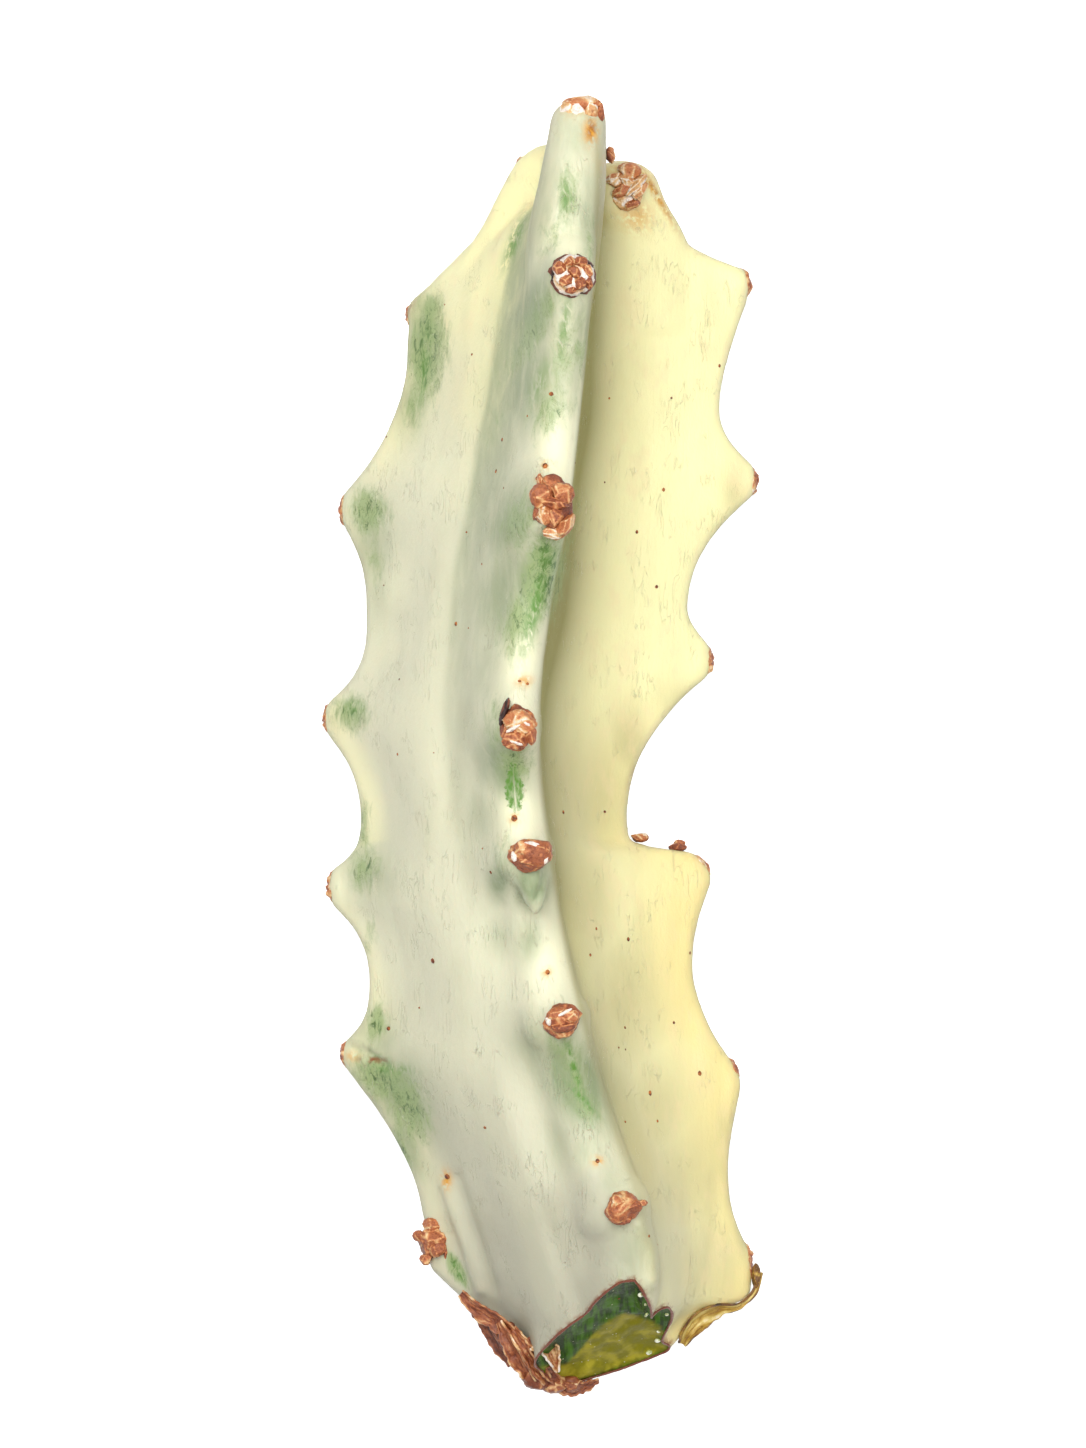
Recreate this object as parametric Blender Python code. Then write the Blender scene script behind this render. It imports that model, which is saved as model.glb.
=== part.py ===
"""A cutting of a three-ribbed candelabra euphorbia, lying on the teeth of two of its ribs.

+Y runs from the cut base to the growing tip, +X to the right and +Z up. The left and the right
rib point out and down, so the stem rests on their teeth, and the front rib stands up. All the
lengths below are in millimetres and become metres where the meshes are made.
"""

import math
from dataclasses import dataclass

import bmesh
import bpy
import numpy as np
from mathutils import Matrix, Vector, noise

MM = 0.001


@dataclass(frozen=True)
class Tooth:
    """A blunt tooth on a rib: where it is, how far it reaches and how fast its two sides fall.

    The lift is how far the end of the tooth stays off the ground.
    """

    along: float
    reach: float
    half: float
    toward_base: float
    toward_tip: float
    lift: float = 0.0


@dataclass(frozen=True)
class Hollow:
    """The lowest point of the edge between two teeth, or a corner of the edge near an end."""

    along: float
    reach: float


@dataclass(frozen=True)
class Bud:
    """A dried flower bud: a crumpled cushion of a few lobes that sits on a tooth."""

    name: str
    place: tuple
    facing: tuple
    size: tuple
    lobes: int
    seed: int


RIGHT, FRONT, LEFT = range(3)  # the ribs in the order in which they stand around the stem

# The edge of each rib from the base up. On a side rib the reach is measured from the middle of the
# stem's length line, and on the front rib it is the height above the ground.
LEFT_EDGE = (
    Hollow(-75.6, -1.8),
    Hollow(-71.0, 2.2),
    Hollow(-67.0, 5.4),
    Hollow(-63.6, 10.2),
    Hollow(-60.6, 13.4),
    Tooth(-57.6, 13.6, 1.6, 1.2, 1.4, 1.2),
    Hollow(-54.0, 14.3),
    Tooth(-35.8, 23.5, 1.3, 1.55, 3.0),
    Hollow(-27.5, 20.4),
    Tooth(-16.4, 24.9, 1.9, 2.5, 3.1, 0.5),
    Hollow(-8.4, 21.4),
    Tooth(3.2, 25.5, 1.6, 2.2, 2.75),
    Hollow(14.5, 20.7),
    Tooth(27.4, 23.6, 1.6, 2.7, 2.1),
    Hollow(46.2, 16.0),
    Tooth(50.1, 15.8, 1.2, 1.5, 1.3, 2.2),
    Hollow(63.0, 5.3),
)
RIGHT_EDGE = (
    Hollow(-75.8, 2.6),
    Hollow(-72.0, 9.8),
    Hollow(-70.0, 14.2),
    Hollow(-67.6, 16.4),
    Tooth(-61.4, 24.0, 2.7, 1.8, 2.3, 0.6),
    Hollow(-50.0, 21.3),
    Tooth(-39.4, 22.6, 1.4, 2.1, 1.7),
    Hollow(-25.6, 17.1),
    Tooth(-15.4, 19.1, 0.9, 1.9, 0.5, 0.7),
    Hollow(-12.0, 15.8),
    Hollow(-11.4, 9.8),
    Hollow(-8.6, 9.5),
    Tooth(9.9, 19.2, 1.6, 2.2, 1.4),
    Hollow(15.6, 16.5),
    Tooth(30.8, 24.4, 1.6, 2.15, 2.0),
    Hollow(39.0, 20.2),
    Tooth(53.4, 23.5, 1.8, 1.55, 1.9, 1.6),
    Hollow(59.4, 15.6),
    Hollow(63.0, 13.4),
)
FRONT_EDGE = (
    Hollow(-76.0, 17.0),
    Hollow(-61.0, 23.6),
    Tooth(-52.8, 25.8, 1.6, 1.8, 2.2),
    Hollow(-43.0, 23.6),
    Tooth(-31.3, 27.0, 1.6, 2.2, 2.2),
    Hollow(-22.0, 25.0),
    Tooth(-12.4, 30.2, 1.6, 2.4, 2.0),
    Hollow(-6.0, 29.2),
    Tooth(2.4, 34.0, 2.0, 2.2, 2.4),
    Hollow(15.0, 31.8),
    Tooth(27.0, 36.6, 2.2, 2.4, 2.2),
    Hollow(41.0, 33.2),
    Tooth(53.3, 36.2, 1.8, 2.2, 1.3),
    Hollow(63.0, 31.0),
)

# Where the middle of the stem and the crest of the front rib run, and how round each crest is.
CENTRE_X = ((-76, 1.0), (-71, 3.4), (-66, 5.8), (-60, 6.6), (-50, 4.2), (-40, 0.6), (-30, -2.2),
            (-12, -6.0), (3, -7.0), (15, -5.6), (27, -3.6), (40, -1.6), (53, 0.0), (64, 1.6))
CENTRE_Z = ((-76, 9.5), (-66, 11.5), (-50, 12.5), (-20, 13.0), (10, 13.5), (45, 14.0), (64, 14.0))
FRONT_X = ((-76, 5.0), (-61, 10.4), (-52.8, 8.7), (-42, 5.2), (-31.3, 2.2), (-12.2, -1.5),
           (2.4, -2.8), (15, -1.4), (27, 0.7), (40, 2.2), (53.3, 3.2), (64, 3.6))
FRONT_CREST = ((-76, 4.2), (-50, 4.2), (-20, 3.6), (0, 2.9), (15, 2.6), (64, 2.9))
SIDE_CREST = ((-76, 1.8), (-60, 2.0), (-20, 2.1), (50, 2.1), (64, 2.4))
# The three furrows between the ribs, as the offset of each from the middle of the stem.
LEFT_FURROW = ((-76, -3.0, 3.0), (-60, -6.6, 7.0), (-30, -5.4, 7.4), (0, -5.2, 6.6),
               (20, -6.2, 5.6), (40, -5.8, 5.0), (64, -4.4, 4.0))
RIGHT_FURROW = ((-76, 2.4, 2.6), (-60, 8.0, 6.6), (-30, 8.4, 6.2), (0, 8.2, 4.6),
                (27, 7.4, 3.8), (64, 5.4, 3.0))
UNDER_FURROW = ((-76, 0.4, -3.0), (-60, 0.6, -5.6), (-20, 1.4, -6.6), (64, 1.4, -5.6))

TOOTH_REST = 2.1  # height of the middle of a side crest where its tooth stands on the ground
FLARE = math.radians(7)  # how much the flanks of a rib spread from its crest
# The left flank of the front rib spreads more than the others, in degrees by the place along.
FRONT_FLARE = ((-76, 24), (-40, 20), (-12, 18), (2, 20), (20, 24), (64, 24))
FLANK_PULL = 0.38  # how straight a flank leaves its crest and its furrow
ROW_STEP = 1.1
FLANK_POINTS = 9
CREST_POINTS = 8


def smooth_track(knots, at):
    """The values of a smooth curve through the knots (along, value, ...) at one place along."""
    table = np.array(knots, dtype=float)
    places = table[:, 0]
    values = table[:, 1:]
    slopes = np.gradient(values, places, axis=0)
    index = int(np.clip(np.searchsorted(places, at) - 1, 0, len(places) - 2))
    span = places[index + 1] - places[index]
    t = float(np.clip((at - places[index]) / span, 0.0, 1.0))
    start = values[index] * (1 + 2 * t) * (1 - t) ** 2 + slopes[index] * span * t * (1 - t) ** 2
    end = values[index + 1] * t * t * (3 - 2 * t) + slopes[index + 1] * span * t * t * (t - 1)
    found = start + end
    return float(found[0]) if len(found) == 1 else tuple(float(v) for v in found)


def edge_reach(edge, at):
    """How far a rib's edge reaches at one place along: a blunt top on each tooth, curves between."""
    for here, beyond in zip(edge, edge[1:]):
        start = here.along + (here.half if isinstance(here, Tooth) else 0.0)
        end = beyond.along - (beyond.half if isinstance(beyond, Tooth) else 0.0)
        if at < start:
            return here.reach
        if at <= end:
            share = (at - start) / (end - start)
            if isinstance(here, Tooth):
                return beyond.reach + (here.reach - beyond.reach) * (1 - share) ** here.toward_tip
            if isinstance(beyond, Tooth):
                return here.reach + (beyond.reach - here.reach) * share ** beyond.toward_base
            return here.reach + (beyond.reach - here.reach) * share
    return edge[-1].reach


def side_slope(edge, side, at):
    """How steeply a side rib falls toward the ground, so that every tooth ends at the same height."""
    teeth = [tooth for tooth in edge if isinstance(tooth, Tooth)]
    places = [tooth.along for tooth in teeth]
    reach = float(np.interp(at, places, [tooth.reach for tooth in teeth]))
    lift = float(np.interp(at, places, [tooth.lift for tooth in teeth]))
    run = side * (reach - smooth_track(SIDE_CREST, at)) - smooth_track(CENTRE_X, at)
    drop = TOOTH_REST + lift - smooth_track(CENTRE_Z, at)
    return drop / run


def rib_ends(at):
    """For the right, the front and the left rib: the middle of its crest, its direction, its round."""
    centre = Vector((smooth_track(CENTRE_X, at), smooth_track(CENTRE_Z, at)))
    round_side = smooth_track(SIDE_CREST, at)
    round_front = smooth_track(FRONT_CREST, at)
    ends = []
    for edge, side in ((RIGHT_EDGE, 1), (LEFT_EDGE, -1)):
        slope = side_slope(edge, side, at)
        x = side * (edge_reach(edge, at) - round_side)
        crest = Vector((x, centre.y + (x - centre.x) * slope))
        ends.append((crest, Vector((side, side * slope)).normalized(), round_side))
    top = Vector((smooth_track(FRONT_X, at), edge_reach(FRONT_EDGE, at)))
    up = (top - centre).normalized()
    ends.insert(FRONT, (top - up * round_front, up, round_front))
    return centre, ends


def bezier(points, share):
    a, b, c, d = points
    rest = 1 - share
    return a * rest**3 + b * 3 * rest**2 * share + c * 3 * rest * share**2 + d * share**3


def section(at):
    """The closed outline across the stem at one place along, as (x, z) points."""
    centre, ends = rib_ends(at)
    furrows = [centre + Vector(smooth_track(furrow, at))
               for furrow in (RIGHT_FURROW, LEFT_FURROW, UNDER_FURROW)]
    quarter = Matrix.Rotation(math.pi / 2, 2)
    outline = []
    for index, (crest, along_rib, round_off) in enumerate(ends):
        across = Vector((-along_rib.y, along_rib.x))
        before = furrows[index - 1]
        after = furrows[index]
        flare = math.radians(smooth_track(FRONT_FLARE, at)) if index == FRONT else FLARE
        first = FLARE - math.pi / 2
        last = math.pi / 2 - flare
        low_out = along_rib * math.cos(first) + across * math.sin(first)
        high_out = along_rib * math.cos(last) + across * math.sin(last)
        low_side = crest + low_out * round_off
        high_side = crest + high_out * round_off
        low_pull = (low_side - before).length * FLANK_PULL
        high_pull = (high_side - after).length * FLANK_PULL
        leave = quarter @ (before - centre).normalized()
        arrive = quarter @ (after - centre).normalized()
        rise = (before, before + leave * low_pull, low_side - quarter @ low_out * low_pull, low_side)
        fall = (high_side, high_side + quarter @ high_out * high_pull, after - arrive * high_pull,
                after)
        outline += [bezier(rise, step / FLANK_POINTS) for step in range(FLANK_POINTS)]
        for step in range(CREST_POINTS):
            angle = first + (last - first) * step / CREST_POINTS
            outward = along_rib * math.cos(angle) + across * math.sin(angle)
            outline.append(crest + outward * round_off)
        outline += [bezier(fall, step / FLANK_POINTS) for step in range(FLANK_POINTS)]
    return outline


# The three young horns at the growing tip, from below its shoulder up: along, the middle of the
# horn (x, z), half its depth in the plane of its rib and half its thickness.
LEFT_HORN = ((48, -4.6, 10.9, 9.0, 2.3), (54, -3.8, 11.4, 7.8, 2.4), (60, -2.0, 12.4, 5.6, 2.6),
             (64, -1.0, 12.9, 4.3, 2.6), (67, -0.2, 13.2, 3.3, 2.6), (69.4, 0.5, 13.4, 2.2, 2.4))
RIGHT_HORN = ((48, 9.4, 10.0, 9.0, 2.3), (54, 9.4, 10.2, 8.6, 2.5), (59, 9.3, 10.4, 7.4, 2.7),
              (63, 9.2, 10.6, 4.9, 2.7), (67.6, 8.8, 11.0, 3.6, 2.6))
FRONT_HORN = ((48, 1.6, 22.0, 11.0, 3.4), (55, 1.9, 23.4, 10.4, 4.2), (60, 2.4, 24.2, 8.8, 4.2),
              (64, 3.05, 25.0, 7.0, 3.9), (69, 3.6, 25.8, 4.8, 3.4), (73.8, 3.95, 26.2, 3.6, 3.0))
HORN_ROUND = 2.4  # length over which the end of a horn rounds off
HORN_SECTION = 2.6  # exponent of its outline, between an oval and a rounded bar
HORN_POINTS = 28
HORN_STEP = 0.77
SHOULDER = 57.0  # where the stem begins to close over the growing tip
CROWN = 63.6  # the growing tip itself
LAST_RING = 0.05  # how far the last ring of a closing tube stays below its end
NARROWEST = 0.08  # the share of its width that this ring keeps
TOOTH_SWELL = 1.1  # radius of the ball in each tooth, as a share of its crest's roundness

# The lower side of the fourth front tooth hangs over the ridge as a small blunt spout.
SPOUT = ((-1.9, -11.8, 27.6, 2.6), (-1.7, -13.6, 28.2, 2.3), (-1.4, -15.4, 28.6, 1.9),
         (-1.2, -17.2, 28.8, 1.4), (-1.1, -18.6, 28.8, 0.8))

# The slanting cut at the base: one point on it and the way it faces.
CUT_POINT = (10.4, -61.2, 24.0)
CUT_FACING = (0.286, -0.82, 0.49)
CUTTER = 60.0

VOXEL = 0.75
CLEAR_VOXEL = 0.45
SMOOTH_TURNS = 3
STEM_FACES = 7600
SHARP_EDGE = math.radians(38)
OVERHEAD = 80.0  # height from which a bud on the front rib is dropped onto the skin
ASIDE = 3.5  # distance from which any other bud is pushed onto the skin

BUD_GAP = 0.34  # how far a dried piece stays off the skin that carries it
BUD_SINK = 0.18  # share of its height that a dried bud's middle lies under the skin
PRESS_FROM = 4.0  # distance from which the skin under a bud's point is looked for
STEEPEST = 0.45  # cosine of the steepest skin whose slope widens the gap
PRESS_SOFT = 0.3  # how gently a bud's underside flattens against the skin
CREASE_DEPTH = 0.26
CREASE_WIDTH = 3.2  # the larger, the narrower the crease between two lobes
LOBE_TURN = math.radians(137.5)  # from each lobe to the next one round the bud
LOBE_WANDER = 0.4
WANDER_APART = (0.0, 17.3, 41.7)  # keeps the three parts of a lobe's wander unlike each other
FOLD_DEPTH = 0.12
FOLDS_PER_BUD = 1.7

FRONT_BUDS = (
    Bud("bud_front_tip", (4.3, 73.3, 25.0), (0.02, 0.93, 0.36), (2.25, 2.3, 1.7), 4, 11),
    Bud("bud_front_2", (3.2, 53.4, 0.0), (0.05, 0.16, 0.98), (2.6, 2.5, 1.9), 7, 12),
    Bud("bud_front_3", (0.8, 27.0, 0.0), (0.1, 0.1, 0.98), (2.5, 4.2, 2.1), 9, 13),
    Bud("bud_front_4", (-3.0, 2.4, 0.0), (0.02, 0.14, 0.98), (2.15, 3.4, 1.9), 7, 14),
    Bud("bud_front_5", (-1.7, -12.2, 0.0), (0.02, 0.2, 0.97), (2.45, 2.0, 1.8), 5, 15),
    Bud("bud_front_6", (2.0, -31.3, 0.0), (0.02, 0.2, 0.97), (2.2, 1.9, 1.7), 5, 16),
    Bud("bud_front_7", (9.0, -52.8, 0.0), (0.1, 0.16, 0.97), (2.2, 2.0, 1.7), 5, 19),
)
# A side bud sits on the end of its tooth: name, place along and half its length.
LEFT_BUDS = (("bud_left_tip", 67.4, 1.1), ("bud_left_2", 50.0, 1.3), ("bud_left_3", 27.2, 2.0),
             ("bud_left_4", 3.2, 1.9), ("bud_left_5", -16.2, 2.2), ("bud_left_6", -35.8, 1.5))
RIGHT_BUDS = (("bud_right_2", 54.2, 1.7), ("bud_right_3", 30.9, 1.9), ("bud_right_4", 9.9, 1.9),
              ("bud_right_5", -13.6, 1.6), ("bud_right_6", -37.2, 1.4), ("bud_right_7", -59.6, 2.3))
OTHER_BUDS = (
    Bud("bud_left_7", (-12.6, -57.4, 0.0), (-0.42, 0.0, 0.9), (2.4, 2.8, 2.2), 7, 31),
    Bud("bud_right_tip", (9.5, 64.6, 0.0), (0.1, 0.2, 0.97), (1.9, 2.6, 1.9), 7, 32),
    Bud("bud_between_horns", (7.2, 67.4, 24.6), (0.9, 0.36, -0.2), (1.0, 1.1, 0.9), 3, 33),
    Bud("scab_right_hollow", (11.1, -12.2, 5.4), (-0.1, 0.98, 0.1), (1.1, 0.9, 1.1), 3, 34),
    Bud("scab_right_tooth", (15.4, -11.6, 3.5), (0.0, 0.98, 0.1), (1.1, 0.8, 1.2), 3, 35),
)
SIDE_BUD_WIDTH = 1.3
SIDE_BUD_HEIGHT = 1.5
SIDE_BUD_LOBES = 4
SIDE_BUD_RAISE = 0.4  # keeps a side bud clear of the ground that its tooth stands on
LEFT_SEED = 90
RIGHT_SEED = 50
TO_ORIGIN = (0.45, 0.1, 0.0)  # brings the middle of the whole cutting over the origin

# The callus that curled off the left of the cut and the dry rim of skin along its right, as runs of
# overlapping lumps: x, y, z and radius.
CALLUS = ((-9.2, -63.3, 9.0, 1.0), (-7.2, -64.8, 9.8, 1.5), (-5.2, -66.4, 10.4, 1.9),
          (-3.4, -68.2, 10.6, 2.5), (-2.2, -70.0, 10.4, 2.8), (-0.9, -71.8, 9.8, 2.7),
          (0.9, -73.0, 9.0, 2.2), (3.2, -73.8, 8.0, 1.5), (5.2, -73.8, 7.2, 1.1))
RIM = ((16.4, -68.9, 7.5, 1.0), (17.7, -67.3, 7.0, 1.1), (19.3, -66.2, 6.2, 1.1),
       (21.2, -65.7, 5.2, 1.1), (23.0, -65.1, 4.4, 1.0), (24.3, -63.6, 3.7, 0.9),
       (24.8, -61.7, 3.2, 0.8))
CRUST_VOXEL = 0.45
CRUST_FOLD = 0.55
CRUST_FOLDS_PER_MM = 0.45
CALLUS_FACES = 620
RIM_FACES = 420
BUD_FACES = 280
SIDE_BUD_FACES = 120

SKIN = ("stem_skin", (0.80, 0.81, 0.60), 0.45)
DRIED = ("dried_bud", (0.27, 0.12, 0.06), 0.80)
CRUST = ("dried_callus", (0.34, 0.16, 0.07), 0.85)


def clear_scene():
    for obj in list(bpy.data.objects):
        bpy.data.objects.remove(obj, do_unlink=True)


def make_material(name, colour, roughness):
    material = bpy.data.materials.get(name) or bpy.data.materials.new(name)
    material.use_nodes = True
    shader = material.node_tree.nodes["Principled BSDF"]
    shader.inputs["Base Color"].default_value = (*colour, 1.0)
    shader.inputs["Roughness"].default_value = roughness
    shader.inputs["Metallic"].default_value = 0.0
    return material


def add_object(name, shape, finish=None):
    """Turns a bmesh in millimetres into an object in metres, shaded smooth."""
    bmesh.ops.recalc_face_normals(shape, faces=shape.faces)
    bmesh.ops.scale(shape, vec=(MM, MM, MM), verts=shape.verts)
    mesh = bpy.data.meshes.new(name)
    shape.to_mesh(mesh)
    shape.free()
    mesh.shade_smooth()
    obj = bpy.data.objects.new(name, mesh)
    bpy.context.scene.collection.objects.link(obj)
    if finish:
        mesh.materials.append(make_material(*finish))
    return obj


def as_guide(obj):
    obj.hide_render = True
    obj.display_type = "WIRE"
    return obj


def loft(shape, rings):
    """Joins rings of points, each with as many points, into one closed tube with flat ends."""
    rows = [[shape.verts.new(point) for point in ring] for ring in rings]
    for low, high in zip(rows, rows[1:]):
        for index, corner in enumerate(low):
            beside = (index + 1) % len(low)
            shape.faces.new((corner, low[beside], high[beside], high[index]))
    shape.faces.new(rows[0])
    shape.faces.new(rows[-1])


def closing(at, start, end):
    """How much of its width a tube keeps on its way from start to its rounded end."""
    if at <= start:
        return 1.0
    return math.sqrt(max(0.0, 1.0 - ((at - start) / (end - start)) ** 2))


def stem_rings():
    """The stem's outlines from the cut end up to the growing tip, which closes as a low dome."""
    low = LEFT_EDGE[0].along
    run = CROWN - LAST_RING - low
    count = int(run / ROW_STEP)
    for row in range(count + 1):
        at = low + run * row / count
        middle = Vector((smooth_track(CENTRE_X, at), smooth_track(CENTRE_Z, at)))
        width = max(closing(at, SHOULDER, CROWN), NARROWEST)
        ring = [middle + (point - middle) * width for point in section(at)]
        yield [Vector((point.x, at, point.y)) for point in ring]


def horn_rings(stations, toward):
    """The outlines of one horn: bars with round edges that get smaller up to a rounded end."""
    low = stations[0][0]
    top = stations[-1][0]
    run = top - LAST_RING - low
    along_rib = Vector(toward).normalized()
    across = Vector((-along_rib.y, along_rib.x))
    count = int(run / HORN_STEP)
    for row in range(count + 1):
        at = low + run * row / count
        x, z, deep, thick = smooth_track(stations, at)
        width = max(closing(at, top - HORN_ROUND, top), NARROWEST)
        ring = []
        for step in range(HORN_POINTS):
            angle = 2 * math.pi * step / HORN_POINTS
            inward = rounded(math.cos(angle)) * deep
            aside = rounded(math.sin(angle)) * thick
            point = Vector((x, z)) + (along_rib * inward + across * aside) * width
            ring.append(Vector((point.x, at, point.y)))
        yield ring


def rounded(share):
    """Turns a share of an oval's half width into that of a bar with round edges."""
    return math.copysign(abs(share) ** (2 / HORN_SECTION), share)


def add_ball(shape, place, radius, detail=2):
    bmesh.ops.create_icosphere(
        shape, subdivisions=detail, radius=radius, matrix=Matrix.Translation(place))


def fuse(obj, voxel):
    """Makes one closed skin that doesn't run through itself out of whatever the object holds."""
    remesh = obj.modifiers.new("fuse", "REMESH")
    remesh.mode = "VOXEL"
    remesh.voxel_size = voxel * MM


def fused(obj, voxel, turns, faces):
    """Fuses overlapping shapes into one skin, rounds it and thins its faces out to a given number."""
    fuse(obj, voxel)
    smooth = obj.modifiers.new("soften", "SMOOTH")
    smooth.factor = 0.5
    smooth.iterations = turns
    settle(obj)
    thin_out(obj, faces)
    return obj


def thin_out(obj, faces):
    decimate = obj.modifiers.new("thin_out", "DECIMATE")
    triangles = sum(len(face.vertices) - 2 for face in obj.data.polygons)
    decimate.ratio = min(1.0, faces / triangles)
    settle(obj)


def settle(obj):
    """Keeps the result of the object's modifiers as its mesh."""
    graph = bpy.context.evaluated_depsgraph_get()
    graph.update()
    mesh = bpy.data.meshes.new_from_object(obj.evaluated_get(graph))
    mesh.shade_smooth()
    old = obj.data
    obj.modifiers.clear()
    obj.data = mesh
    mesh.name = obj.name
    bpy.data.meshes.remove(old)


def cut_with(obj, cutter):
    boolean = obj.modifiers.new("cut", "BOOLEAN")
    boolean.operation = "DIFFERENCE"
    boolean.solver = "EXACT"
    boolean.object = cutter


def make_stem():
    shape = bmesh.new()
    loft(shape, list(stem_rings()))
    loft(shape, list(horn_rings(LEFT_HORN, (-1.0, -0.5))))
    loft(shape, list(horn_rings(RIGHT_HORN, (1.0, -0.5))))
    loft(shape, list(horn_rings(FRONT_HORN, (0.0, 1.0))))
    for x, y, z, radius in SPOUT:
        add_ball(shape, (x, y, z), radius)
    for edge, rib in ((RIGHT_EDGE, RIGHT), (FRONT_EDGE, FRONT), (LEFT_EDGE, LEFT)):
        for tooth in edge:
            if isinstance(tooth, Tooth):
                crest, _, radius = rib_ends(tooth.along)[1][rib]
                add_ball(shape, (crest.x, tooth.along, crest.y), radius * TOOTH_SWELL)
    stem = fused(add_object("stem", shape, SKIN), VOXEL, SMOOTH_TURNS, STEM_FACES)

    knife = bmesh.new()
    bmesh.ops.create_cube(knife, size=CUTTER)
    facing = Vector(CUT_FACING).normalized()
    turn = facing.to_track_quat("Z", "Y").to_matrix().to_4x4()
    place = Matrix.Translation(Vector(CUT_POINT) + facing * CUTTER / 2)
    bmesh.ops.transform(knife, matrix=place @ turn, verts=knife.verts)
    cut_with(stem, as_guide(add_object("knife", knife)))
    settle(stem)
    stem.data.set_sharp_from_angle(angle=SHARP_EDGE)
    return stem


def make_clearance(stem):
    """The stem grown by the gap that a crust keeps to it, fused again so that it cuts cleanly."""
    copy = bpy.data.objects.new("clearance", stem.data.copy())
    bpy.context.scene.collection.objects.link(copy)
    grow = copy.modifiers.new("grow", "DISPLACE")
    grow.strength = BUD_GAP * MM
    grow.mid_level = 0.0
    fuse(copy, CLEAR_VOXEL)
    settle(copy)
    return as_guide(copy)


def lobe_directions(count, seed):
    """Directions spread over the upper half of a ball, in a spiral with a little wander."""
    found = []
    for index in range(count):
        height = 1.0 - 0.95 * (index + 0.5) / count
        angle = index * LOBE_TURN + seed
        ring = math.sqrt(1.0 - height * height)
        outward = Vector((ring * math.cos(angle), ring * math.sin(angle), height))
        place = Vector((index, seed, 0.5)) * math.pi
        wander = Vector(noise.noise(place + Vector((0, 0, apart))) for apart in WANDER_APART)
        found.append((outward + wander * LOBE_WANDER).normalized())
    return found


def crumple(shape, size, lobes, seed):
    """Turns a unit ball into a cushion of lobes with a crease wherever two of them meet."""
    directions = lobe_directions(lobes, seed)
    for vert in shape.verts:
        outward = vert.co.normalized()
        near = sorted((outward.dot(lobe) for lobe in directions), reverse=True)
        crease = min(1.0, (near[0] - near[1]) * CREASE_WIDTH)
        fold = noise.turbulence(outward * FOLDS_PER_BUD + Vector((seed, 0, 0)), 2, True) - 0.5
        swell = 1.0 - CREASE_DEPTH * (1.0 - math.sqrt(crease)) + FOLD_DEPTH * fold
        vert.co = Vector(axis * part * swell for axis, part in zip(outward, size))


def seat(stem, start, toward):
    """The point of the stem's skin that a straight line from start meets first."""
    hit, point, _, _ = stem.ray_cast(Vector(start) * MM, Vector(toward))
    if not hit:
        raise ValueError(f"no skin beyond {tuple(start)}")
    return point / MM


def make_bud(bud, stem, place, faces):
    shape = bmesh.new()
    bmesh.ops.create_icosphere(shape, subdivisions=3, radius=1.0)
    crumple(shape, bud.size, bud.lobes, bud.seed)
    obj = add_object(bud.name, shape, DRIED)
    thin_out(obj, faces)
    facing = Vector(bud.facing).normalized()
    obj.location = (place - facing * bud.size[2] * BUD_SINK) * MM
    obj.rotation_mode = "QUATERNION"
    obj.rotation_quaternion = upright(facing)
    press_on(obj, stem, facing)


def lifted(height):
    """Brings heights under nothing to just over it, in their old order, and hardly moves others."""
    return (height + math.hypot(height, PRESS_SOFT * MM)) / 2


def press_on(obj, stem, facing):
    """Lifts each point of a bud that is in the skin, or nearer than the gap, clear of it."""
    place = Matrix.LocRotScale(obj.location, obj.rotation_quaternion, None)
    back = place.inverted()
    gap = BUD_GAP * MM
    for vert in obj.data.vertices:
        point = place @ vert.co
        hit, skin, normal, _ = stem.ray_cast(point + facing * PRESS_FROM * MM, -facing)
        if hit:
            height = (point - skin).dot(facing) - gap / max(normal.dot(facing), STEEPEST)
            point += facing * (lifted(height) - height)
        _, skin, normal, _ = stem.closest_point_on_mesh(point)
        short = gap - (point - skin).dot(normal)
        point += normal * max(short, 0.0)
        vert.co = back @ point


def upright(facing):
    """The turn that sends local Z to the facing and keeps local Y as near to the stem as it can."""
    side = Vector((0.0, 1.0, 0.0)).cross(facing)
    side = side.normalized() if side.length > 0.5 else Vector((1.0, 0.0, 0.0))
    along = facing.cross(side)
    return Matrix((side, along, facing)).transposed().to_quaternion()


def make_top_buds(stem):
    for bud in FRONT_BUDS + OTHER_BUDS:
        facing = Vector(bud.facing).normalized()
        place = Vector(bud.place)
        if place.z == 0.0:
            place = seat(stem, (place.x, place.y, OVERHEAD), (0.0, 0.0, -1.0))
        else:
            place = seat(stem, place + facing * ASIDE, -facing)
        make_bud(bud, stem, place, BUD_FACES)


def make_side_buds(stem):
    for buds, rib, seed in ((RIGHT_BUDS, RIGHT, RIGHT_SEED), (LEFT_BUDS, LEFT, LEFT_SEED)):
        for number, (name, along, half) in enumerate(buds):
            crest, outward, _ = rib_ends(along)[1][rib]
            facing = Vector((outward.x, 0.0, outward.y))
            middle = Vector((crest.x, along, crest.y + SIDE_BUD_RAISE))
            place = seat(stem, middle + facing * ASIDE, -facing)
            size = (SIDE_BUD_WIDTH, half, SIDE_BUD_HEIGHT)
            bud = Bud(name, tuple(place), tuple(facing), size, SIDE_BUD_LOBES, seed + number)
            make_bud(bud, stem, place, SIDE_BUD_FACES)


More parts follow.
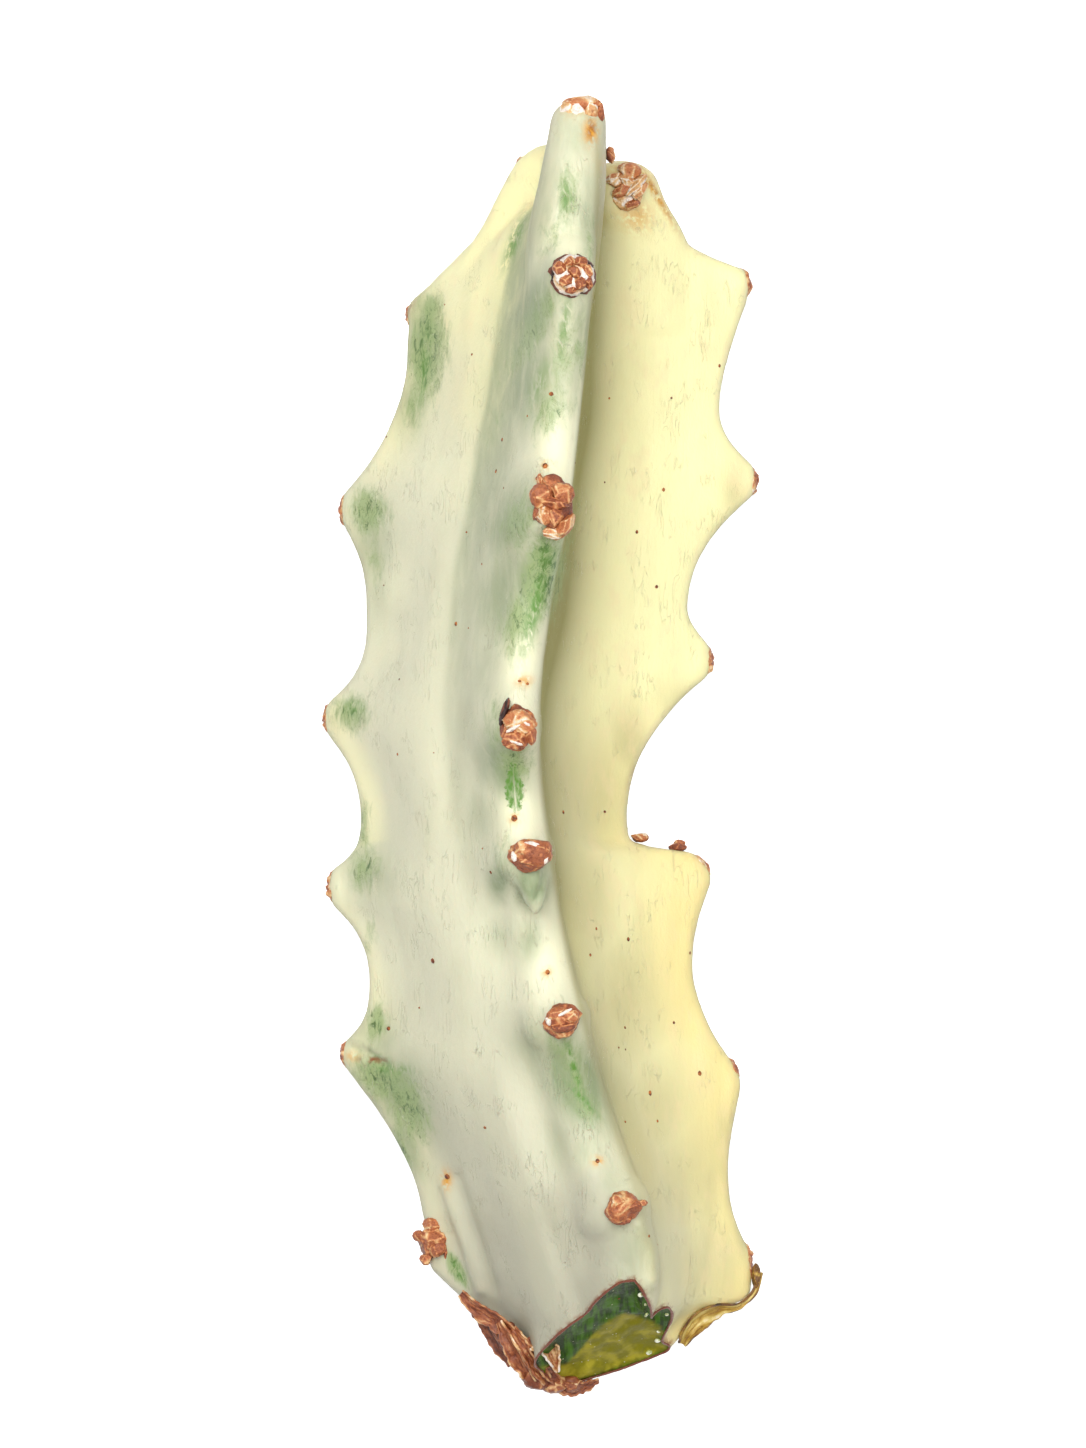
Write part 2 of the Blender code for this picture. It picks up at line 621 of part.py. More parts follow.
def make_crust(name, lumps, faces, clearance):
    """A crumpled strip: a run of lumps fused and folded by noise, kept off the stem's skin."""
    shape = bmesh.new()
    for x, y, z, radius in lumps:
        add_ball(shape, (x, y, z), radius, 3)
    crust = add_object(name, shape, CRUST)
    fuse(crust, CRUST_VOXEL)
    settle(crust)
    for vert in crust.data.vertices:
        place = vert.co / MM
        fold = noise.turbulence(place * CRUST_FOLDS_PER_MM, 2, True) - 0.5
        vert.co += vert.normal * fold * CRUST_FOLD * MM
    thin_out(crust, faces)
    cut_with(crust, clearance)
    return crust


def main():
    clear_scene()
    stem = make_stem()
    clearance = make_clearance(stem)
    make_top_buds(stem)
    make_side_buds(stem)
    make_crust("callus", CALLUS, CALLUS_FACES, clearance)
    make_crust("dry_rim", RIM, RIM_FACES, clearance)
    for obj in bpy.data.objects:
        obj.location += Vector(TO_ORIGIN) * MM


main()
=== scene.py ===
"""Dresses a cutting of a pale, three-ribbed candelabra euphorbia that lies on its rib teeth.

+Y runs from the cut base to the growing tip, +X to the right and +Z up. Shapes are worked out in
millimetres around the middle of the stem and become metres in the part's frame when a mesh is made.
"""

import logging
import math
from collections.abc import Iterable, Sequence
from dataclasses import dataclass, field
from enum import Enum

import bmesh
import bpy
import numpy as np
from mathutils import Matrix, Vector, geometry, noise
from mathutils.bvhtree import BVHTree

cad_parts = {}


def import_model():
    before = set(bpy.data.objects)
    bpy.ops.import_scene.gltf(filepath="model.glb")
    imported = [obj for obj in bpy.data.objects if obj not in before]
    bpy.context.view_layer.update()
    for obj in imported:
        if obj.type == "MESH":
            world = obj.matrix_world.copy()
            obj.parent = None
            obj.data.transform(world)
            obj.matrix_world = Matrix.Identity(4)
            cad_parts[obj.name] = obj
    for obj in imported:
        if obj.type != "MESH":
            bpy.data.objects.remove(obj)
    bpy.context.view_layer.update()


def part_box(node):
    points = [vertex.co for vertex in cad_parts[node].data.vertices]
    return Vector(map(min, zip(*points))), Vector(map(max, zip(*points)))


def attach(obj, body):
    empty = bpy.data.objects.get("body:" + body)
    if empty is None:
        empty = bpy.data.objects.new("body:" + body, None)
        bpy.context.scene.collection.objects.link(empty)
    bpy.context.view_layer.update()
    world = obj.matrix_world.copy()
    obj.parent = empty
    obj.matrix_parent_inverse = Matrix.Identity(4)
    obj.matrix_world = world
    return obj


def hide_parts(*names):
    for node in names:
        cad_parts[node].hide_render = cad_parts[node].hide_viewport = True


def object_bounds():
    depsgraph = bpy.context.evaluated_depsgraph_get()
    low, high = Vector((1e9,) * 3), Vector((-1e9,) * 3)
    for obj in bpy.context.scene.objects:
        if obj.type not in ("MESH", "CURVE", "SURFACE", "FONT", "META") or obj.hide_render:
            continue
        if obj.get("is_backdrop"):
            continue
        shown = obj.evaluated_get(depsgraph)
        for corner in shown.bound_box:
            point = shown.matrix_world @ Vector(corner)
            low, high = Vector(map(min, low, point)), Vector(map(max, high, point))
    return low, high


log = logging.getLogger("euphorbia")
MM = 0.001
TO_FRAME = Vector((0.45, 0.1, 0.0))  # from the middle of the stem to the part's frame, in mm
Triple = tuple[float, float, float]
Settings = dict[str, object]


# ------------------------------------------------------------------ node trees


def srgb(red: int, green: int, blue: int) -> tuple[float, float, float, float]:
    """Turns an everyday colour of 0 to 255 into the linear colour that a shader takes.

    Args:
        red: Red from 0 to 255.
        green: Green from 0 to 255.
        blue: Blue from 0 to 255.

    Returns:
        The colour with full alpha.
    """
    parts = [part / 255 for part in (red, green, blue)]
    linear = [p / 12.92 if p <= 0.04045 else ((p + 0.055) / 1.055) ** 2.4 for p in parts]
    return (linear[0], linear[1], linear[2], 1.0)


class Signal:
    """A number in a node tree, with arithmetic that adds the Math nodes."""

    def __init__(self, tree: "Tree", socket: bpy.types.NodeSocket) -> None:
        """Keeps the tree and the socket that gives the number."""
        self.tree = tree
        self.socket = socket

    def _math(self, operation: str, *values: "Signal | float", clamp: bool = False) -> "Signal":
        """Adds one Math node over the values and returns its result."""
        settings = {"operation": operation, "use_clamp": clamp}
        return self.tree.out("ShaderNodeMath", settings, dict(enumerate(values)))

    def __add__(self, other: "Signal | float") -> "Signal":
        """Adds."""
        return self._math("ADD", self, other)

    __radd__ = __add__

    def __sub__(self, other: "Signal | float") -> "Signal":
        """Subtracts."""
        return self._math("SUBTRACT", self, other)

    def __rsub__(self, other: "Signal | float") -> "Signal":
        """Subtracts this from another number."""
        return self._math("SUBTRACT", other, self)

    def __mul__(self, other: "Signal | float") -> "Signal":
        """Multiplies."""
        return self._math("MULTIPLY", self, other)

    __rmul__ = __mul__

    def __truediv__(self, other: "Signal | float") -> "Signal":
        """Divides."""
        return self._math("DIVIDE", self, other)

    def __abs__(self) -> "Signal":
        """Drops the sign."""
        return self._math("ABSOLUTE", self)

    def clamped(self) -> "Signal":
        """Keeps the number between 0 and 1."""
        return self._math("ADD", self, 0.0, clamp=True)

    def ease(self, low: float, high: float) -> "Signal":
        """Rises smoothly from 0 at low to 1 at high, or falls where high is the smaller.

        Args:
            low: The value that becomes 0.
            high: The value that becomes 1.

        Returns:
            The eased number.
        """
        return self.tree.out("ShaderNodeMapRange", {"interpolation_type": "SMOOTHSTEP"},
                             {"Value": self, "From Min": low, "From Max": high})


class Tree:
    """Builds the nodes of one material or of one geometry group."""

    def __init__(self, nodes: bpy.types.NodeTree) -> None:
        """Keeps the node tree to fill."""
        self.nodes = nodes

    def node(self, kind: str, settings: Settings | None = None,
             inputs: dict[str | int, object] | None = None) -> bpy.types.Node:
        """Adds a node, sets it up and then fills its sockets.

        Args:
            kind: The node's type.
            settings: Its properties; "stops" are a ramp's places and colours.
            inputs: Values, sockets or signals by the socket's name or number.

        Returns:
            The new node.
        """
        made = self.nodes.nodes.new(kind)
        for name, value in (settings or {}).items():
            if name == "stops":
                self._set_stops(made.color_ramp, value)
            else:
                setattr(made, name, value)
        for key, value in (inputs or {}).items():
            source = value.socket if isinstance(value, Signal) else value
            if isinstance(source, bpy.types.NodeSocket):
                self.nodes.links.new(source, made.inputs[key])
            else:
                made.inputs[key].default_value = source
        return made

    def out(self, kind: str, settings: Settings | None = None,
            inputs: dict[str | int, object] | None = None, output: int = 0) -> Signal:
        """Adds a node and gives one of its outputs, which may also be a colour or a shape."""
        return Signal(self, self.node(kind, settings, inputs).outputs[output])

    @staticmethod
    def _set_stops(ramp: bpy.types.ColorRamp, stops: Sequence[tuple[float, tuple]]) -> None:
        """Gives a colour ramp its stops."""
        while len(ramp.elements) < len(stops):
            ramp.elements.new(1.0)
        for element, (place, colour) in zip(ramp.elements, stops):
            element.position = place
            element.color = colour


class Paint(Tree):
    """Builds one material out of nodes."""

    def __init__(self, name: str) -> None:
        """Makes an empty material of that name."""
        self.material = bpy.data.materials.new(name)
        self.material.use_nodes = True
        super().__init__(self.material.node_tree)
        self.nodes.nodes.clear()
        place = self.node("ShaderNodeTexCoord").outputs["Object"]
        self.place = self.out("ShaderNodeMapping", None,
                              {"Vector": place, "Scale": (1 / MM, 1 / MM, 1 / MM)})

    def attribute(self, name: str) -> Signal:
        """Reads a number that the mesh carries at each point."""
        node = self.node("ShaderNodeAttribute", {"attribute_name": name})
        return Signal(self, node.outputs["Fac"])

    def axis(self, number: int, of: object) -> Signal:
        """Gives one of the three numbers of a place or a direction."""
        return self.out("ShaderNodeSeparateXYZ", None, {0: of}, number)

    def noise(self, per_mm: float, stretch: Triple = (1, 1, 1), detail: float = 3.0,
              rough: float = 0.5, distort: float = 0.0, turn: Triple = (0, 0, 0)) -> Signal:
        """Soft noise in the part's own space.

        Args:
            per_mm: How many lumps there are to a millimetre.
            stretch: The share of that scale along each axis; small numbers give long streaks.
            detail: How many finer layers it has.
            rough: How strong the finer layers are.
            distort: How much it swirls.
            turn: A turn of the pattern in radians.

        Returns:
            Noise around 0.5.
        """
        moved = self.out("ShaderNodeMapping", None,
                         {"Vector": self.place, "Rotation": turn, "Scale": stretch})
        return self.out("ShaderNodeTexNoise", None, {
            "Vector": moved, "Scale": per_mm, "Detail": detail, "Roughness": rough,
            "Distortion": distort})

    def cells(self, per_mm: float) -> Signal:
        """The distance to the middles of random cells, in the part's own space."""
        return self.out("ShaderNodeTexVoronoi", None, {"Vector": self.place, "Scale": per_mm})

    def mix(self, share: Signal, one: object, other: object) -> Signal:
        """Mixes two colours; share says how much of the other one shows."""
        settings = {"data_type": "RGBA", "clamp_factor": True}
        return self.out("ShaderNodeMix", settings, {0: share, 6: one, 7: other}, 2)

    def ramp(self, share: Signal, stops: Sequence[tuple[float, tuple]]) -> Signal:
        """Reads a colour off a ramp of stops."""
        return self.out("ShaderNodeValToRGB", {"stops": stops}, {"Fac": share})

    def bump(self, *layers: tuple[Signal, float]) -> Signal:
        """Turns heights into a normal.

        Args:
            layers: Heights from the lowest one up, each with its depth in millimetres.

        Returns:
            The bumped normal.
        """
        under = {}
        for height, depth in layers:
            sockets = {"Height": height, "Distance": depth * MM, "Strength": 1.0, **under}
            under = {"Normal": self.out("ShaderNodeBump", None, sockets)}
        return under["Normal"]

    def finish(self, colour: object, roughness: object, normal: object = None,
               **sockets: float) -> bpy.types.Material:
        """Closes the material with its surface shader.

        Args:
            colour: The base colour, as a value or a socket.
            roughness: The roughness, as a number or a signal.
            normal: A bumped normal, where there is one.
            sockets: Constants of the shader's other sockets, with _ for a space.

        Returns:
            The finished material.
        """
        inputs: dict[str | int, object] = {"Base Color": colour, "Roughness": roughness}
        if normal is not None:
            inputs["Normal"] = normal
        inputs.update({name.replace("_", " "): value for name, value in sockets.items()})
        shader = self.out("ShaderNodeBsdfPrincipled", None, inputs)
        self.node("ShaderNodeOutputMaterial", None, {"Surface": shader})
        return self.material


# ------------------------------------------------------------------ finishes


@dataclass(frozen=True)
class SkinFinish:
    """Waxy skin: cream and yellow where it lacks green, grey in the shade, olive where shade is
    painted right of the front rib, marbled with green.
    """

    pale: tuple = srgb(221, 219, 189)
    warm: tuple = srgb(255, 248, 188)
    cream: tuple = srgb(242, 240, 204)
    cool: tuple = srgb(174, 171, 150)
    # The olive is the colour of painted shade right of the front rib and on edges that turn away; it
    # also tints a soft random mottle.
    olive: tuple = srgb(140, 134, 66)
    ochre: tuple = srgb(213, 203, 146)
    gold: tuple = srgb(248, 230, 158)
    sage: tuple = srgb(144, 156, 118)
    peach: tuple = srgb(252, 226, 178)
    green: tuple = srgb(146, 167, 108)
    deep: tuple = srgb(62, 92, 42)
    leaf: tuple = srgb(92, 138, 52)
    amber: tuple = srgb(214, 150, 40)
    rust: tuple = srgb(134, 66, 30)

    def material(self) -> bpy.types.Material:
        """Builds the material; the mesh carries the masks warm, cool, cream, marble and so on.

        Returns:
            The skin's material.
        """
        paint = Paint("stem_skin_finish")
        marble = paint.attribute("marble")
        soft = paint.noise(0.16, (1, 0.45, 1), 4)
        colour = self.pale
        for tint in ("cool", "warm", "cream", "gold", "ochre"):
            colour = paint.mix(paint.attribute(tint), colour, getattr(self, tint))
        blush = paint.noise(0.35, (1, 0.6, 1), 4, 0.6).ease(0.48, 0.7) * paint.attribute("warm")
        colour = paint.mix(blush * 0.3, colour, self.peach)
        haze = paint.noise(0.5, (1, 0.3, 0.8), 4, 0.6, 0.3, (0, 0, 0.25))
        sage = paint.attribute("sage")
        # The sage mask is partly the skin's own grey green and partly painted shade.
        colour = paint.mix((sage * (haze.ease(0.2, 0.62) * 0.5 + 0.62)).clamped(), colour, self.sage)
        # Painted shade: olive in the furrow right of the front rib and on edges where the skin turns
        # away.
        colour = paint.mix(paint.attribute("olive"), colour, self.olive)
        colour = paint.mix(soft.ease(0.5, 0.85) * 0.16, colour, self.olive)

        streak = paint.noise(0.9, (1, 0.4, 0.8), 6, 0.68, 0.6, (0, 0, 0.3))
        dashes = paint.noise(1.5, (1.0, 0.38, 0.8), 4, 0.62, 0.8, (0, 0, 0.3))
        veins = abs(paint.noise(0.8, (1, 0.5, 0.8), 5, 0.65, 1.2, (0, 0, -0.5)) - 0.5)
        body = (marble + (streak - 0.5) * 1.3).ease(0.22, 0.85)
        colour = paint.mix(body * 0.78, colour, self.green)
        fleck = (marble * 0.75 + (dashes - 0.5) * 2.2).ease(0.62, 1.0) * marble.ease(0.2, 0.5)
        colour = paint.mix(fleck * 0.85, colour, self.deep)
        lines = body * veins.ease(0.03, 0.0)
        colour = paint.mix(lines * 0.45, colour, self.deep)
        colour = paint.mix(paint.attribute("vivid") * dashes.ease(0.36, 0.56), colour, self.leaf)
        colour = self._leaf_patch(paint, colour)

        amber = paint.attribute("amber") * paint.noise(1.6, detail=3).ease(0.3, 0.55)
        colour = paint.mix(amber * 0.85, colour, self.amber)
        rust = paint.attribute("rust") * paint.noise(1.1, detail=4, rough=0.6).ease(0.38, 0.55)
        colour = paint.mix(rust.clamped() * 0.9, colour, self.rust)

        strokes = paint.noise(1.1, (1, 0.16, 0.5), 3, 0.5, 1.5, (0, 0, 0.55)) - 0.5
        strays = abs(strokes).ease(0.012, 0.0) * paint.noise(0.3, detail=2).ease(0.5, 0.62)
        colour = paint.mix(strays * 0.35, colour, self.cream)

        grain = paint.noise(2.2, (1, 0.6, 1), 4, 0.6)
        fibres = paint.noise(1.6, (1, 0.12, 0.6), 3, 0.5, 0.4, (0, 0, 0.12))
        normal = paint.bump((fibres, 0.035), (grain, 0.05), (strays, 0.05))
        roughness = 0.4 + grain * 0.14 - strays * 0.1
        return paint.finish(colour, roughness, normal, Specular_IOR_Level=0.42,
                            Subsurface_Weight=0.08, Subsurface_Scale=0.0015)

    def _leaf_patch(self, paint: Paint, colour: Signal) -> Signal:
        """Paints the one bright green patch, a leaf's outline with a pale vein down its middle."""
        along = (paint.axis(1, paint.place) + 4.4) / 3.4
        across = paint.axis(0, paint.place) + 3.05 + along * 0.25
        width = (1 - along * along) * (1 - along * 0.55) * 1.15
        ragged = (paint.noise(2.0, detail=4) - 0.5) * 1.6
        inside = (width - abs(across) + ragged).ease(0.0, 0.35) * abs(along).ease(1.0, 0.9)
        vein = abs(across + ragged * 0.15).ease(0.14, 0.05)
        up = paint.axis(2, paint.node("ShaderNodeNewGeometry").outputs["Normal"])
        blades = paint.noise(1.8, (1.4, 0.5, 0.6), 3, turn=(0, 0, 0.6)).ease(0.35, 0.6)
        share = (inside * (0.45 + blades * 0.55) * (1 - vein * 0.75)).clamped()
        return paint.mix(share * up.ease(0.0, 0.3), colour, self.leaf)


@dataclass(frozen=True)
class CutFinish:
    """The wet cut: a dark green rind along its upper left, an olive heart and pale specks."""

    rind: tuple = srgb(34, 54, 10)
    stripe: tuple = srgb(72, 112, 22)
    heart: tuple = srgb(128, 122, 22)
    glow: tuple = srgb(172, 160, 48)
    speck_white: tuple = srgb(236, 236, 196)

    def material(self) -> bpy.types.Material:
        """Builds the material; the mesh carries how deep inside the rim a point is.

        Returns:
            The material of the cut.
        """
        paint = Paint("cut_flesh_finish")
        rind = paint.attribute("rind")
        ribs = paint.noise(1.0, (1.5, 0.25, 0.25), 2, turn=(0, 0, 0.6))
        dark = paint.mix(ribs.ease(0.36, 0.66), self.rind, self.stripe)
        light = paint.mix(paint.noise(0.5, detail=4).ease(0.4, 0.65), self.heart, self.glow)
        colour = paint.mix(rind, light, dark)
        # Pale specks mixed into the colour, placed by cells and noise.
        specks = paint.cells(1.3).ease(0.16, 0.08) * paint.noise(0.9, detail=1).ease(0.5, 0.6)
        colour = paint.mix(specks * 0.8, colour, self.speck_white)
        wet = paint.noise(1.4, detail=3)
        normal = paint.bump((wet, 0.12), (specks, 0.05))
        return paint.finish(colour, 0.4 + wet * 0.2, normal, Coat_Weight=0.04,
                            Coat_Roughness=0.12, Specular_IOR_Level=0.12)


@dataclass(frozen=True)
class DriedFinish:
    """Dried flower and callus: red-brown, dark in its creases, bleached on its folds, with painted
    shade and highlight carried in the meshes' tone.
    """

    name: str = "dried_finish"
    deep: tuple = srgb(46, 16, 7)
    brown: tuple = srgb(142, 72, 40)
    copper: tuple = srgb(198, 118, 68)
    tan: tuple = srgb(232, 190, 132)
    pale: tuple = srgb(252, 240, 228)
    roughness: float = 0.42
    depth: float = 0.16
    mottle: float = 0.42

    def material(self) -> bpy.types.Material:
        """Builds the material; the mesh carries its tone from 0, dark, to 1, bleached.

        Returns:
            The dried material.
        """
        paint = Paint(self.name)
        grain = paint.noise(3.2, (1, 1, 1), 5, 0.65, 0.6)
        tone = paint.attribute("tone") + (grain - 0.5) * self.mottle
        colour = paint.ramp(tone.clamped(), (
            (0.05, self.deep), (0.3, self.brown), (0.52, self.copper), (0.74, self.tan),
            (0.95, self.pale)))
        pits = paint.cells(2.4).ease(0.1, 0.45)
        normal = paint.bump((grain, self.depth), (pits, self.depth * 0.5))
        return paint.finish(colour, self.roughness + grain * 0.2, normal, Coat_Weight=0.15,
                            Coat_Roughness=0.3, Specular_IOR_Level=0.5)


@dataclass(frozen=True)
class SpeckFinish:
    """Tiny scabs and breathing pores: rust brown, a little paler where they crack."""

    dark: tuple = srgb(94, 40, 14)
    light: tuple = srgb(178, 104, 44)

    def material(self) -> bpy.types.Material:
        """Builds the material of the specks."""
        paint = Paint("skin_speck_finish")
        grain = paint.noise(2.0, detail=3)
        colour = paint.mix(grain.ease(0.4, 0.6), self.dark, self.light)
        return paint.finish(colour, 0.5 + grain * 0.2, paint.bump((grain, 0.05)))


@dataclass(frozen=True)
class BeadFinish:
    """Beads of clear sap that stand on the cut."""

    tint: tuple = srgb(178, 186, 110)
    rim: tuple = srgb(240, 242, 214)

    def material(self) -> bpy.types.Material:
        """Builds the material of the sap."""
        paint = Paint("sap_bead_finish")
        haze = paint.noise(1.8, detail=2)
        colour = paint.mix(haze.ease(0.45, 0.65), self.tint, self.rim)
        return paint.finish(colour, 0.06 + haze * 0.08, paint.bump((haze, 0.05)),
                            Coat_Weight=1.0, Coat_Roughness=0.03, Specular_IOR_Level=0.8)


@dataclass(frozen=True)
class FloorFinish:
    """A plain, pale, matt floor."""

    white: tuple = (0.93, 0.93, 0.93, 1.0)
    glow: float = 0.6

    def material(self) -> bpy.types.Material:
        """Builds the floor's material."""
        paint = Paint("floor_finish")
        return paint.finish(self.white, 0.9, Specular_IOR_Level=0.1, Emission_Color=self.white,
                            Emission_Strength=self.glow)


# ------------------------------------------------------------------ the stem's outline


@dataclass(frozen=True)
class Tooth:
    """A blunt tooth on a rib: where it is, how far it reaches, how fast its two sides fall."""

    along: float
    reach: float
    half: float
    toward_base: float
    toward_tip: float
    lift: float = 0.0


@dataclass(frozen=True)
class Hollow:
    """The lowest point of an edge between two teeth, or a corner of the edge near an end."""

    along: float
    reach: float


class Rib(Enum):
    """The three ribs, in the order in which they stand around the stem."""

    RIGHT = 0
    FRONT = 1
    LEFT = 2


LEFT_EDGE = (
    Hollow(-75.6, -1.8), Hollow(-71.0, 2.2), Hollow(-67.0, 5.4), Hollow(-63.6, 10.2),
    Hollow(-60.6, 13.4), Tooth(-57.6, 13.6, 1.6, 1.2, 1.4, 1.2), Hollow(-54.0, 14.3),
    Tooth(-35.8, 23.5, 1.3, 1.55, 3.0), Hollow(-27.5, 20.4),
    Tooth(-16.4, 24.9, 1.9, 2.5, 3.1, 0.5), Hollow(-8.4, 21.4), Tooth(3.2, 25.5, 1.6, 2.2, 2.75),
    Hollow(14.5, 20.7), Tooth(27.4, 23.6, 1.6, 2.7, 2.1), Hollow(46.2, 16.0),
    Tooth(50.1, 15.8, 1.2, 1.5, 1.3, 2.2), Hollow(63.0, 5.3),
)
RIGHT_EDGE = (
    Hollow(-75.8, 2.6), Hollow(-72.0, 9.8), Hollow(-70.0, 14.2), Hollow(-67.6, 16.4),
    Tooth(-61.4, 24.0, 2.7, 1.8, 2.3, 0.6), Hollow(-50.0, 21.3),
    Tooth(-39.4, 22.6, 1.4, 2.1, 1.7), Hollow(-25.6, 17.1),
    Tooth(-15.4, 19.1, 0.9, 1.9, 0.5, 0.7), Hollow(-12.0, 15.8), Hollow(-11.4, 9.8),
    Hollow(-8.6, 9.5),
    Tooth(9.9, 19.2, 1.6, 2.2, 1.4), Hollow(15.6, 16.5), Tooth(30.8, 24.4, 1.6, 2.15, 2.0),
    Hollow(39.0, 20.2), Tooth(53.4, 23.5, 1.8, 1.55, 1.9, 1.6), Hollow(59.4, 15.6),
    Hollow(63.0, 13.4),
)
FRONT_EDGE = (
    Hollow(-76.0, 17.0), Hollow(-61.0, 23.6), Tooth(-52.8, 25.8, 1.6, 1.8, 2.2),
    Hollow(-43.0, 23.6), Tooth(-31.3, 27.0, 1.6, 2.2, 2.2), Hollow(-22.0, 25.0),
    Tooth(-12.4, 30.2, 1.6, 2.4, 2.0), Hollow(-6.0, 29.2), Tooth(2.4, 34.0, 2.0, 2.2, 2.4),
    Hollow(15.0, 31.8), Tooth(27.0, 36.6, 2.2, 2.4, 2.2), Hollow(41.0, 33.2),
    Tooth(53.3, 36.2, 1.8, 2.2, 1.3), Hollow(63.0, 31.0),
)


def smooth_track(knots: Sequence[Sequence[float]], at: float) -> np.ndarray:
    """Reads a smooth curve through knots.

    Args:
        knots: Rows of a place along and the values there.
        at: The place along to read.

    Returns:
        The values at that place.
    """
    table = np.array(knots, dtype=float)
    places, values = table[:, 0], table[:, 1:]
    slopes = np.gradient(values, places, axis=0)
    index = int(np.clip(np.searchsorted(places, at) - 1, 0, len(places) - 2))
    span = places[index + 1] - places[index]
    t = float(np.clip((at - places[index]) / span, 0.0, 1.0))
    start = values[index] * (1 + 2 * t) * (1 - t) ** 2 + slopes[index] * span * t * (1 - t) ** 2
    end = values[index + 1] * t * t * (3 - 2 * t) + slopes[index + 1] * span * t * t * (t - 1)
    return start + end


def edge_reach(edge: Sequence[Tooth | Hollow], at: float) -> float:
    """Says how far a rib's edge reaches at one place along.

    Args:
        edge: The rib's teeth and hollows from the base up.
        at: The place along.

    Returns:
        The reach in millimetres.
    """
    for here, beyond in zip(edge, edge[1:]):
        start = here.along + (here.half if isinstance(here, Tooth) else 0.0)
        end = beyond.along - (beyond.half if isinstance(beyond, Tooth) else 0.0)
        if at < start:
            return here.reach
        if at <= end:
            share = (at - start) / (end - start)
            if isinstance(here, Tooth):
                return beyond.reach + (here.reach - beyond.reach) * (1 - share) ** here.toward_tip
            if isinstance(beyond, Tooth):
                return here.reach + (beyond.reach - here.reach) * share ** beyond.toward_base
            return here.reach + (beyond.reach - here.reach) * share
    return edge[-1].reach


def bezier(points: Sequence[Vector], share: float) -> Vector:
    """Gives the point of a cubic curve at a share of its way."""
    a, b, c, d = points
    rest = 1 - share
    return a * rest**3 + b * 3 * rest**2 * share + c * 3 * rest * share**2 + d * share**3


def closing(at: float, start: float, end: float) -> float:
    """Says how much of its width a tube keeps on its way from start to its rounded end."""
    if at <= start:
        return 1.0
    return math.sqrt(max(0.0, 1.0 - ((at - start) / (end - start)) ** 2))


